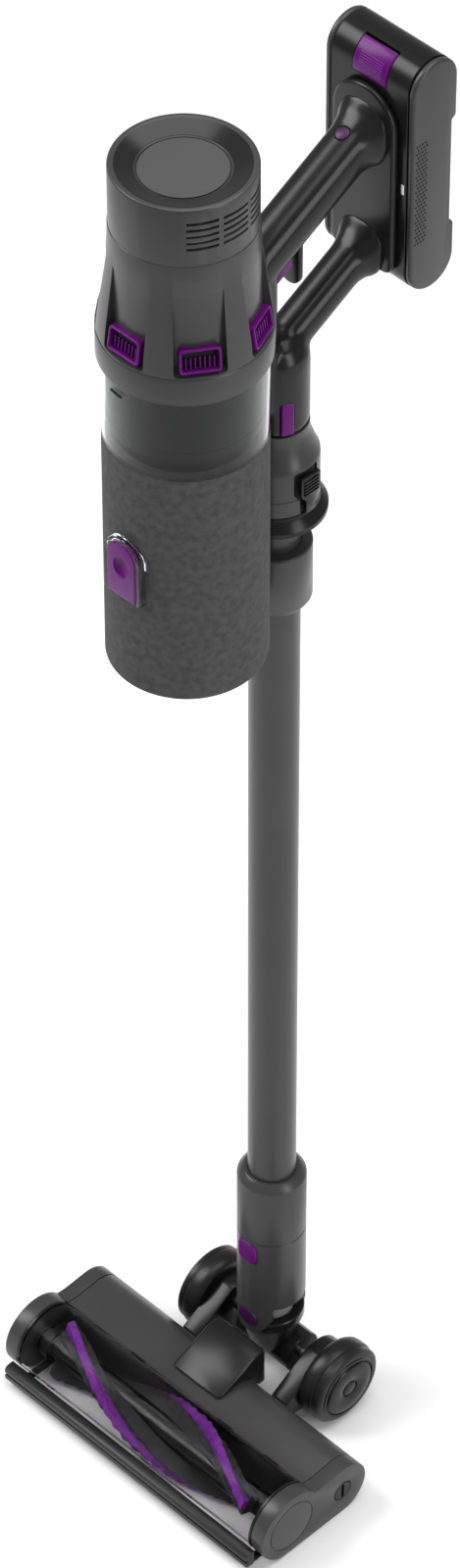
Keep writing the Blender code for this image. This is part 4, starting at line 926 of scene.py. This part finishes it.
def makeBatteryButton():
    low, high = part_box("battery_button")
    body = extruded("releaseButton", stadium(batteryLow, batteryHigh, -0.0004), low[0], high[0], "X")
    keep = block("buttonKeep", (0.1, high[1] - low[1] + 0.006, high[2] - low[2]),
                 (0, (low[1] - 0.006 + high[1]) / 2, (low[2] + high[2]) / 2))
    combine(body, keep, "INTERSECT")
    bevelEdges(body, 0.0009, 3, 40)
    ridges = []
    for row in range(8):
        z = low[2] + 0.0040 + row * 0.0015
        angle = math.asin(max(-1, min(1, (z - (batteryHigh[2] - 0.02)) / 0.0204)))
        y = (batteryLow[1] + 0.02) - 0.0204 * math.cos(angle)
        ridges.append(block("buttonRidge", (0.0200, 0.0009, 0.0006), (0, y, z), 0.0002, 1))
    body = joinAll([body] + ridges)
    finished(body, paint["purple"], "battery_release_body", ("battery_button",))
    low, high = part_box("charge_light")
    lamp = block("chargeLamp", (0.0030, 0.0024, 0.0086), ((low[0] + high[0]) / 2, batteryLow[1] + 0.0008,
                                                          (low[2] + high[2]) / 2), 0.0010, 4)
    finished(lamp, paint["lightWhite"], "battery", ("charge_light",))


makeBattery()
makeBatteryButton()
print("battery ready")


# column base, dusting brush, collars and tube, all turned round the wand's axis

wandSizes = {"tube": 0.0175, "seat": 0.0178, "socket": 0.0253, "column": 0.0226, "base": 0.0295,
             "skirt": 0.0351,
             "tufts": 40, "binRoom": 0.0538}


def roomForBin(piece, extra):
    return combine(piece, rod("binRoom", wandSizes["binRoom"] + extra, 0.80, 0.99, motorAxis, steps=120))


def makeColumnBase():
    s = wandSizes
    low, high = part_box("column_base")
    seat, top, foot = s["seat"], high[2], low[2]
    c, b = s["column"], s["base"]
    outline = [(seat, top), (c - 0.0004, top), (c, top - 0.0004), (c, top - 0.0060), (c + 0.0006,
                                                                                      top - 0.0100),
               (b - 0.0016, top - 0.0235), (b - 0.0002, top - 0.0262), (b, top - 0.0290), (b, foot + 0.0146),
               (b - 0.0006, foot + 0.0140), (b - 0.0006, foot + 0.0132), (b, foot + 0.0126),
               (b, foot + 0.0004), (b - 0.0004, foot), (seat, foot)]
    body = lathe("columnBase", outline, wandAxis, steps=144)
    roomForBin(body, 0.0010)
    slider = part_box("dusting_slider")
    z = (slider[0][2] + slider[1][2]) / 2
    slot = [(-0.0105, 0.0190), (0.0105, 0.0190), (0.0105, 0.0005), (0.0060, -0.0045), (0.0060, -0.0170),
            (-0.0060, -0.0170), (-0.0060, -0.0045), (-0.0105, 0.0005)]
    slot = roundCorners(shifted(slot, wandY, z), 0.0025, 4)
    tool = extruded("sliderSlot", slot, 0.0245, 0.0350, "X")
    combine(tool, rod("slotCore", b - 0.0016, foot - 0.01, top, wandAxis))
    combine(body, tool)
    finished(body, paint["bodyGrey"], "upright", ("column_base",))
    # a near-black liner in the slider slot: painted shade in the recess
    liner = extruded("sliderPit", slot, 0.0240, 0.0283, "X")
    combine(liner, lathe("pitCore", [(0.0281, foot), (0.04, foot), (0.04, top), (0.0281, top)], wandAxis,
                         steps=96))
    finished(liner, paint["pitBlack"], "upright")


def makeDustingBrush():
    s = wandSizes
    low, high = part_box("dusting_skirt")
    bore = s["socket"] + 0.0009
    outline = [(bore, high[2]), (s["base"] - 0.0003, high[2]), (s["base"], high[2] - 0.0003),
               (s["base"] + 0.0004, high[2] - 0.0022), (s["base"] + 0.0012, high[2] - 0.0030),
               (s["skirt"] - 0.0006, low[2] + 0.0046), (s["skirt"], low[2] + 0.0038), (s["skirt"],
                                                                                       low[2] + 0.0004),
               (s["skirt"] - 0.0004, low[2]), (bore, low[2])]
    skirt = lathe("dustingSkirt", outline, wandAxis, steps=144)
    roomForBin(skirt, 0)
    finished(skirt, paint["charcoal"], "dusting_brush", ("dusting_skirt",))
    low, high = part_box("dusting_bristles")
    band = lathe("bristleRoot", [(0.0290, high[2] - 0.0040), (0.0306, high[2] - 0.0040), (0.0312, high[2]),
                                 (0.0290, high[2])], wandAxis, steps=144)
    tuft = block("tuft", (0.0026, 0.0018, (high[2] - low[2]) * 0.62), (0, 0,
                                                                       high[2] - (high[2] - low[2]) * 0.31))
    startEdit(tuft)
    bpy.ops.mesh.subdivide(number_cuts=2)
    endEdit()
    tufts = []
    for count in range(s["tufts"]):
        one = copyMoved(tuft, (wandX, wandY - 0.0315, 0))
        turnMesh(one, count * 360 / s["tufts"], "Z", wandAxis)
        tufts.append(one)
    bpy.data.objects.remove(tuft)
    ring = joinAll([band] + tufts)
    ring.name = "bristleRing"
    roomForBin(ring, 0)
    finished(ring, paint["bristleBlack"], "dusting_brush", ("dusting_bristles",))
    low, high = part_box("dusting_slider")
    z = (low[2] + high[2]) / 2
    knob = [(-0.0088, 0.0160), (0.0088, 0.0160), (0.0088, 0.0010), (0.0044, -0.0035), (0.0044, -0.0150),
            (-0.0044, -0.0150), (-0.0044, -0.0035), (-0.0088, 0.0010)]
    knob = extruded("slider", roundCorners(shifted(knob, wandY, z), 0.0018, 3), low[0] + 0.0002,
                    high[0] - 0.0010, "X")
    bevelEdges(knob, 0.0006, 2, 50)
    ribs = [block("sliderRib", (0.0016, 0.0130, 0.0012), (high[0] - 0.0006, wandY, z + 0.0020 + row * 0.0026),
                  0.0004, 2) for row in range(5)]
    knob = joinAll([knob] + ribs)
    finished(knob, paint["charcoal"], "dusting_brush", ("dusting_slider",))


def makeWand():
    s = wandSizes
    low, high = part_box("wand_tube")
    r = s["tube"]
    tube = lathe("wandTube", [(r - 0.0015, low[2]), (r - 0.0003, low[2]), (r, low[2] + 0.0003),
                              (r, high[2] - 0.0003), (r - 0.0003, high[2]), (r - 0.0015, high[2])], wandAxis,
                 steps=128)
    finished(tube, paint["tubeGrey"], "upright", ("wand_tube",))
    low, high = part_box("wand_collar")
    r, seat = s["socket"], s["seat"]
    collar = lathe("wandCollar", [(seat, high[2]), (r - 0.0012, high[2]), (r - 0.0002, high[2] - 0.0010),
                                  (r, high[2] - 0.0020), (r, low[2] + 0.0062), (r - 0.0008, low[2] + 0.0048),
                                  (seat + 0.0036, low[2] + 0.0006), (seat + 0.0026, low[2]), (seat, low[2])],
                   wandAxis, steps=144)
    button = middleOf("wand_release")
    combine(collar, rod("releaseWell", 0.0061, button[1] - 0.012, button[1] + 0.006, (0, 0, button[2]), "Y",
                        48))
    finished(collar, paint["bodyGrey"], "upright", ("wand_collar",))
    low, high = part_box("wand_foot")
    foot = lathe("wandFoot", [(seat, high[2]), (seat + 0.0020, high[2]), (seat + 0.0032, high[2] - 0.0008),
                              (r - 0.0006, high[2] - 0.0050), (r, high[2] - 0.0064), (r, low[2] + 0.0006),
                              (r - 0.0005, low[2]), (seat, low[2])], wandAxis, steps=144)
    finished(foot, paint["bodyGrey"], "upright", ("wand_foot",))
    low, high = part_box("wand_release")
    r = high[0]
    disc = lathe("wandButton", [(0, low[1] - 0.0004), (r - 0.0016, low[1] - 0.0003), (r - 0.0003,
                                                                                      low[1] + 0.0004),
                                (r, low[1] + 0.0012), (r, high[1]), (0, high[1])], (0, 0, button[2]), "Y", 64)
    finished(disc, paint["purple"], "wand_release_body", ("wand_release",))


makeColumnBase()
makeDustingBrush()
makeWand()
print("wand ready")


# neck: socket with its ears, pivot pins, tilting cup, hose, shield and duct

neckSizes = {"rimRise": 0.0146, "earRadius": 0.0155, "earThick": 0.0046}
pinMiddle = middleOf("pivot_pin_front")
rollZ = pinMiddle[2]


def makeSocket():
    s = neckSizes
    low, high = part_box("head_socket")
    r = wandSizes["socket"]
    rim = rollZ + s["rimRise"]
    seat = wandSizes["seat"]
    outline = [(r - 0.0005, high[2]), (r, high[2] - 0.0006), (r, low[2] + 0.0004), (r - s["earThick"],
                                                                                    low[2] + 0.0004),
               (r - s["earThick"], rim + 0.0030), (r - 0.0050, rim + 0.0050), (r - 0.0050, rim + 0.0120),
               (seat - 0.0030, rim + 0.0150), (seat - 0.0030, rim + 0.0170), (seat, rim + 0.0170), (seat,
                                                                                                    high[2])]
    body = lathe("headSocket", outline, wandAxis, steps=144)
    wide = r + 0.01
    ear = s["earRadius"]
    below = [(wide, rim), (ear + 0.0040, rim), (ear, rim - 0.0050)] + arcPoints((0, rollZ), ear, 0, -180, 28)
    below += [(-ear, rim - 0.0050), (-ear - 0.0040, rim), (-wide, rim), (-wide, low[2] - 0.01), (wide,
                                                                                                 low[2] - 0.01)]
    combine(body, extruded("socketSides", shifted(below, wandX, 0), wandY - wide, wandY + wide, "Y"))
    button = middleOf("head_release")
    blow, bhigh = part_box("head_release")
    hole = rectangle(bhigh[0] + 0.0005, (bhigh[2] - blow[2]) / 2 + 0.0005, 0.0055, (0, button[2]), 6)
    combine(body, extruded("socketWell", hole, wandY - 0.04, wandY - 0.0178, "Y"))
    for node in ("pivot_pin_front", "pivot_pin_rear"):
        low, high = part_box(node)
        radius = high[0] + 0.0004
        side = -1 if middleOf(node)[1] < wandY else 1
        combine(body, rod("pinWell", radius, wandY + side * (r - 0.0020), wandY + side * (r + 0.01),
                          (0, 0, rollZ), "Y", 48))
    finished(body, paint["bodyGrey"], "upright", ("head_socket",))
    oval = rectangle(bhigh[0], (bhigh[2] - blow[2]) / 2, 0.0052, (0, button[2]), 8)
    press = extruded("socketButton", oval, wandY - r - 0.0010, wandY - 0.0207, "Y")
    bevelEdges(press, 0.0012, 4, 50)
    finished(press, paint["purple"], "head_release_body", ("head_release",))
    for node in ("pivot_pin_front", "pivot_pin_rear"):
        low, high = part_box(node)
        radius = high[0]
        side = -1 if middleOf(node)[1] < wandY else 1
        face = wandY + side * (r + 0.0004)
        root = wandY + side * (r - 0.0019)
        pin = lathe("pinCap", [(0, face), (radius - 0.0012, face), (radius - 0.0002, face - side * 0.0006),
                               (radius, face - side * 0.0014), (radius, root), (0, root)], (0, 0, rollZ), "Y",
                               48)
        finished(pin, paint["darkPurple"], "upright", (node,))


def makeYoke():
    axleY, axleZ = middleOf("wheel_axle")[1:]
    r = wandSizes["socket"] - 0.0008
    rim = rollZ - 0.0035
    bore = wandSizes["socket"] - 0.0075
    cup = lathe("yokeCup", [(bore, rim - 0.0004), (bore + 0.0004, rim), (r - 0.0008, rim), (r, rim - 0.0010),
                            (r, rim - 0.0080), (r - 0.0012, rim - 0.0120), (r - 0.0076, axleZ + 0.0060),
                            (r - 0.0110, axleZ - 0.0020), (0, axleZ - 0.0030), (0, axleZ + 0.0190),
                            (bore, axleZ + 0.0190)], wandAxis, steps=96)
    knuckle = lathe("yokeKnuckle", [(0, -0.0270), (0.0158, -0.0270), (0.0165, -0.0263), (0.0165, 0.0263),
                                    (0.0158, 0.0270), (0, 0.0270)], (0, axleY, axleZ), "X", 72)
    combine(cup, knuckle, "UNION")
    tongue = arcPoints((0, rollZ), 0.0110, 0, 180, 20) + [(-0.0110, rim - 0.0040), (0.0110, rim - 0.0040)]
    inner = wandSizes["socket"] - neckSizes["earThick"] - 0.0004
    tongues = extruded("yokeTongue", tongue, wandY - inner, wandY + inner, "Y")
    combine(cup, tongues, "UNION")
    combine(cup, rod("yokeDuct", bore, axleZ + 0.0190, rollZ + 0.03, wandAxis))
    for side in (-1, 1):
        combine(cup, rod("earRoom", neckSizes["earRadius"] + 0.0012, wandY + side * inner,
                         wandY + side * 0.040,
                         (0, 0, rollZ), "Y", 64))
    bevelEdges(cup, 0.0006, 2, 40)
    finished(cup, paint["charcoal"], "neck", ("yoke",))


def makeHose():
    low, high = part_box("flex_hose")
    r = high[0]
    rings = 7
    pitch = (high[2] - low[2]) / rings
    outline = [(r - 0.0032, low[2])]
    for count in range(rings):
        base = low[2] + pitch * count
        outline += [(r - 0.0016, base + pitch * 0.06), (r - 0.0003, base + pitch * 0.22), (r,
                                                                                           base + pitch * 0.40),
                    (r - 0.0003, base + pitch * 0.58), (r - 0.0016, base + pitch * 0.74),
                    (r - 0.0018, base + pitch * 0.90)]
    outline += [(r - 0.0032, high[2])]
    hose = lathe("greyHose", outline, wandAxis, steps=96)
    finished(hose, paint["hoseGrey"], "neck", ("flex_hose",))


def makeShield():
    low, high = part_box("neck_shield")
    half = high[0] + 0.0036
    centre = middleOf("coin_lock")
    radius = 0.0243
    under = arcPoints((centre[1], centre[2]), radius, 112, 12, 14)
    roof = [(high[1] - 0.0006, low[2] - 0.0180), (high[1] - 0.0006, high[2] - 0.0012), (high[1] - 0.0030,
                                                                                        high[2]),
            (high[1] - 0.0140, high[2] - 0.0012), (low[1] + 0.0220, low[2] + 0.0085), (low[1] + 0.0030,
                                                                                       low[2] + 0.0016)]
    shield = extruded("neckShield", under + roof, -half, half, "X")
    bevelEdges(shield, 0.0022, 4, 40)
    finished(shield, paint["handleGrey"], "head", ("neck_shield", "neck_duct"))


makeSocket()
makeYoke()
makeHose()
makeShield()
print("neck ready")


# wheels: ribbed tyre, ringed hub and a small centre cap

def makeWheel(name, body, side):
    low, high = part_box("tyre_" + name)
    centre = (0, (low[1] + high[1]) / 2, (low[2] + high[2]) / 2)
    r = (high[2] - low[2]) / 2
    outer = high[0] if side > 0 else low[0]
    inner = low[0] if side > 0 else high[0]
    rim = r - 0.0100

    def place(points):
        return [(radius, outer - side * depth) for radius, depth in points]

    tyre = lathe("tyre", place([(rim, 0.0040), (rim, 0.0026), (r - 0.0062, 0.0026), (r - 0.0034, 0.0034),
                                (r - 0.0014, 0.0052), (r - 0.0010, 0.0088), (r - 0.0014, 0.0092),
                                (r - 0.0014, 0.0098), (r - 0.0006, 0.0102), (r, 0.0120), (r, 0.0185),
                                (r - 0.0006, 0.0215), (r - 0.0024, 0.0238), (r - 0.0056, 0.0248),
                                (rim, 0.0248)]), centre, "X", 128)
    finished(tyre, paint["rubber"], body, ("tyre_" + name,))
    hub = lathe("hub", place([(0, 0.0008), (0.0050, 0.0008), (0.0058, 0.0012), (0.0062, 0.0022), (0.0070,
                                                                                                  0.0022),
                              (0.0074, 0.0012), (0.0090, 0.0006), (0.0150, 0.0002), (0.0210, 0.0006),
                              (0.0222, 0.0014), (0.0228, 0.0026), (0.0236, 0.0026), (0.0240, 0.0018),
                              (r - 0.0074, 0.0018), (r - 0.0068, 0.0026), (r - 0.0068, 0.0040),
                              (rim - 0.0004, 0.0042), (rim - 0.0004, 0.0235), (0.0045, 0.0235), (0.0045,
                                                                                                 0.0090),
                              (0, 0.0090)]), centre, "X", 128)
    finished(hub, paint["handleGrey"], body, ("hub_" + name,))


makeWheel("left", "left_wheel", -1)
makeWheel("right", "right_wheel", 1)
print("wheels ready")


# floor head: shell, window, brush roll, end caps, bumper and sole

headSizes = {"lobe": 0.0295, "rear": 0.0235, "window": 0.0018, "tip": 0.0262,
             "combs": (-0.052, 0.038, 0.086), "rowTurn": 250, "rows": (70, 250), "lock": 0.0083}
brushMiddle = middleOf("brush_core")
motorMiddle = middleOf("coin_lock")
brushY, brushZ = brushMiddle[1], brushMiddle[2]
rearY, rearZ = motorMiddle[1], motorMiddle[2]
windowLow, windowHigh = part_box("brush_window")
lobeZ = windowHigh[2] - headSizes["lobe"]


def makeShell():
    s = headSizes
    low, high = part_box("head_shell")
    half = windowHigh[0]
    lobe = (brushY, lobeZ)
    rear = (rearY, rearZ)
    waist = ((brushY + rearY) / 2 + 0.0045, rearZ + s["rear"] - 0.0012)
    outer = arcPoints(lobe, s["lobe"], 43, 36, 2)
    outer += roundCorners([outer[-1], waist, arcPoints(rear, s["rear"], 95, 90, 1)[0]], 0.008, 6, False)[1:-1]
    outer += arcPoints(rear, s["rear"], 95, -62, 24)
    inside = arcPoints(rear, s["rear"] - 0.0020, -62, 150, 24)
    wall = arcPoints((brushY, brushZ), s["tip"] + 0.0014, -40, 44, 10)
    shell = extruded("headShell", outer + inside + [(brushY + 0.0300, 0.0024)] + wall, -half, half, "X")
    axle = middleOf("wheel_axle")
    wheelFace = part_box("tyre_right")[0][0]
    for side in (-1, 1):
        arm = arcPoints((axle[1], axle[2]), 0.0235, -110, 110, 30)
        root = rearY + s["rear"] - 0.0012
        arm += [(root, axle[2] - 0.0005), (root, rearZ - 0.0060)]
        ends = sorted((side * 0.0385, side * (wheelFace - 0.0008)))
        piece = extruded("wheelArm", arm, ends[0], ends[1], "X")
        combine(piece, rod("axleRoom", 0.0043, -0.1, 0.1, (0, axle[1], axle[2]), "X", 32))
        bevelEdges(piece, 0.0014, 3, 40)
        finished(piece, paint["handleGrey"], "head")
    bevelEdges(shell, 0.0010, 3, 50)
    finished(shell, paint["bodyGrey"], "head", ("head_shell",))
    edge = arcPoints(lobe, s["lobe"] + 0.0006, 40, 40, 1)[0]
    tooth = block("combTooth", (0.0010, 0.0060, 0.0008), (0, edge[0] - 0.0026, edge[1] - 0.0006), 0.0002, 1)
    turnMesh(tooth, -50, "X", (0, edge[0], edge[1]))
    comb = joinAll([copyMoved(tooth, (start + count * 0.0021, 0,
                                      0)) for start in s["combs"] for count in range(7)])
    bpy.data.objects.remove(tooth)
    comb.name = "windowComb"
    finished(comb, paint["charcoal"], "head")


def makeWindow():
    s = headSizes
    half = windowHigh[0]
    lobe = (brushY, lobeZ)
    band = arcPoints(lobe, s["lobe"], 200, 43.5, 64) + arcPoints(lobe, s["lobe"] - s["window"], 43.5, 200, 64)
    window = extruded("smokedWindow", band, -half, half, "X")
    finished(window, paint["smoke"], "head", ("brush_window",))
    rim = arcPoints(lobe, s["lobe"] + 0.0003, 200, 43.5, 64) + arcPoints(lobe, s["lobe"] - 0.0024, 43.5, 200,
                                                                         64)
    for side in (-1, 1):
        ends = sorted((side * half, side * (half - 0.0020)))
        strip = extruded("windowEnd", rim, ends[0], ends[1], "X")
        finished(strip, paint["charcoal"], "head")


def headSide():
    # side outline of the whole head
    s = headSizes
    lobe, rear = (brushY, lobeZ), (rearY, rearZ)
    waist = ((brushY + rearY) / 2 + 0.0045, rearZ + s["rear"] - 0.0012)
    points = arcPoints(lobe, s["lobe"], 250, 36, 44)
    points += roundCorners([points[-1], waist, arcPoints(rear, s["rear"], 95, 90, 1)[0]], 0.008, 6,
                           False)[1:-1]
    return points + arcPoints(rear, s["rear"], 95, -80, 32)


def makeEndCaps():
    s = headSizes
    for side, node in ((-1, "end_cap_left"), (1, "end_cap_right")):
        low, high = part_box(node)
        cap = extruded("endCap", headSide(), low[0], high[0], "X")
        face = high[0] if side > 0 else low[0]
        inner = low[0] if side > 0 else high[0]
        combine(cap, rod("bearingRoom", 0.0084, inner - side * 0.001, inner + side * 0.0052,
                         (0, brushY, brushZ), "X", 48))
        if side > 0:
            combine(cap, rod("lockRoom", s["lock"] + 0.0004, face - 0.0050, face + 0.001, (0, rearY, rearZ),
                             "X",
                             64))
        groove = lathe("capGroove", [(0.0208, face - side * 0.0008), (0.0216, face - side * 0.0008),
                                     (0.0216, face + side * 0.001), (0.0208, face + side * 0.001)],
                       (0, brushY, lobeZ), "X", 96)
        combine(cap, groove)
        bevelEdges(cap, 0.0014, 4, 60)
        finished(cap, paint["bodyGrey"], "head", (node,))
    low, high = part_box("coin_lock")
    r = high[1] - rearY
    face = high[0]
    lock = lathe("coinLock", [(0, low[0]), (r, low[0]), (r, face - 0.0008), (r - 0.0006, face), (0, face)],
                 (0, rearY, rearZ), "X", 72)
    slot = shifted(rectangle(0.0013, 0.0070, 0.0012, (0, 0), 5), rearY, rearZ)
    combine(lock, extruded("coinSlot", slot, face - 0.0020, face + 0.001, "X"))
    finished(lock, paint["charcoal"], "coin_lock_body", ("coin_lock",))


def makeBrush():
    s = headSizes
    low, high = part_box("brush_core")
    half = high[0]
    core = lathe("brushCore", [(0, -half), (0.0092, -half), (0.0096, -half + 0.0006), (0.0096, half - 0.0006),
                               (0.0092, half), (0, half)], (0, brushY, brushZ), "X", 64)
    finished(core, paint["charcoal"], "brush", ("brush_core",))
    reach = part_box("bristle_row_1")[1][0]
    steps = 150
    outer, root = s["tip"], 0.0090
    for index, start in enumerate(s["rows"]):

        def sweep(name, inner, crest, halfWidth):
            points = [(-halfWidth, inner), (-halfWidth * 0.7, crest), (halfWidth * 0.7, crest), (halfWidth,
                                                                                                 inner)]
            section = []
            for a, radius in points:
                turn = math.radians(start + a)
                section.append((-reach, brushY + radius * math.cos(turn), brushZ + radius * math.sin(turn)))
            piece = drawLine(name, section)
            bpy.ops.mesh.edge_face_add()
            for count in range(steps):
                bpy.ops.mesh.extrude_region_move(TRANSFORM_OT_translate={"value": (2 * reach / steps, 0, 0)})
                bpy.ops.transform.rotate(value=-math.radians(s["rowTurn"] / steps), orient_axis="X",
                                         center_override=(0, brushY, brushZ))
                grow = 1 + 0.025 * math.sin(count * 0.9) - 0.025 * math.sin((count - 1) * 0.9)
                bpy.ops.transform.resize(value=(1, grow, grow), center_override=(0, brushY, brushZ))
            cleanMesh()
            return piece

        fin = sweep("brushFin%d" % index, root, outer - 0.0050, 34.0)
        finished(fin, paint["felt"], "brush", ("bristle_row_%d" % (index + 1),))
        crest = sweep("brushCrest%d" % index, outer - 0.0075, outer - 0.0006, 10.0)
        finished(crest, paint["brushPurple"], "brush")


def makeBumper():
    low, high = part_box("bumper_rail")
    middle = (low[2] + high[2]) / 2
    y0, y1, z0, z1 = low[1], high[1], low[2], high[2]
    rail = [(y1, z0), (y1, z1), (y0 + 0.0034, z1), (y0 + 0.0010, z1 - 0.0012), (y0, z1 - 0.0034),
            (y0, middle + 0.0012), (y0 + 0.0024, middle + 0.0010), (y0 + 0.0024, middle - 0.0010),
            (y0, middle - 0.0012), (y0, z0 + 0.0024), (y0 + 0.0006, z0 + 0.0010), (y0 + 0.0022, z0)]
    bumper = extruded("bumper", rail, low[0], high[0], "X")
    bevelEdges(bumper, 0.0004, 2, 50)
    finished(bumper, paint["rubber"], "head", ("bumper_rail",))


def makeSole():
    low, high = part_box("sole_plate")
    y = (low[1] + high[1]) / 2
    outline = rectangle(high[0], (high[1] - low[1]) / 2, 0.003, (0, 0), 4)
    plate = extruded("sole", shifted(outline, 0, y), low[2], high[2], "Z")
    opening = rectangle(high[0] - 0.006, 0.0215, 0.004, (0, 0), 5)
    combine(plate, extruded("soleRoom", shifted(opening, 0, brushY), low[2] - 0.002, high[2] + 0.002, "Z"))
    bevelEdges(plate, 0.0005, 2, 40)
    finished(plate, paint["charcoal"], "head", ("sole_plate",))


makeShell()
makeWindow()
makeEndCaps()
makeBrush()
makeBumper()
makeSole()
print("floor head ready")


# remaining CAD parts in procedural materials

slotPaint = {"body_grey": "bodyGrey", "charcoal": "charcoal", "purple": "purple", "clear": "clear",
             "smoke": "smoke",
             "rubber": "rubber", "steel": "steel", "motor_alloy": "steel", "hose_grey": "hoseGrey",
             "bristle_black": "bristleBlack", "filter_white": "filterWhite", "cell_wrap": "cellWrap",
             "tube_grey": "tubeGrey", "light_white": "lightWhite", "disc_grey": "discGrey"}


def paintCadParts():
    for thing in bpy.data.objects:
        slot = cadSlots.get(thing.name)
        if thing.type == "MESH" and slot:
            for place in thing.material_slots:
                place.material = paint[slotPaint[slot]]


cadSlots = {entry["node"]: entry["material_slot"] for entry in frame["record"]["subparts"]
            if "material_slot" in entry}
paintCadParts()
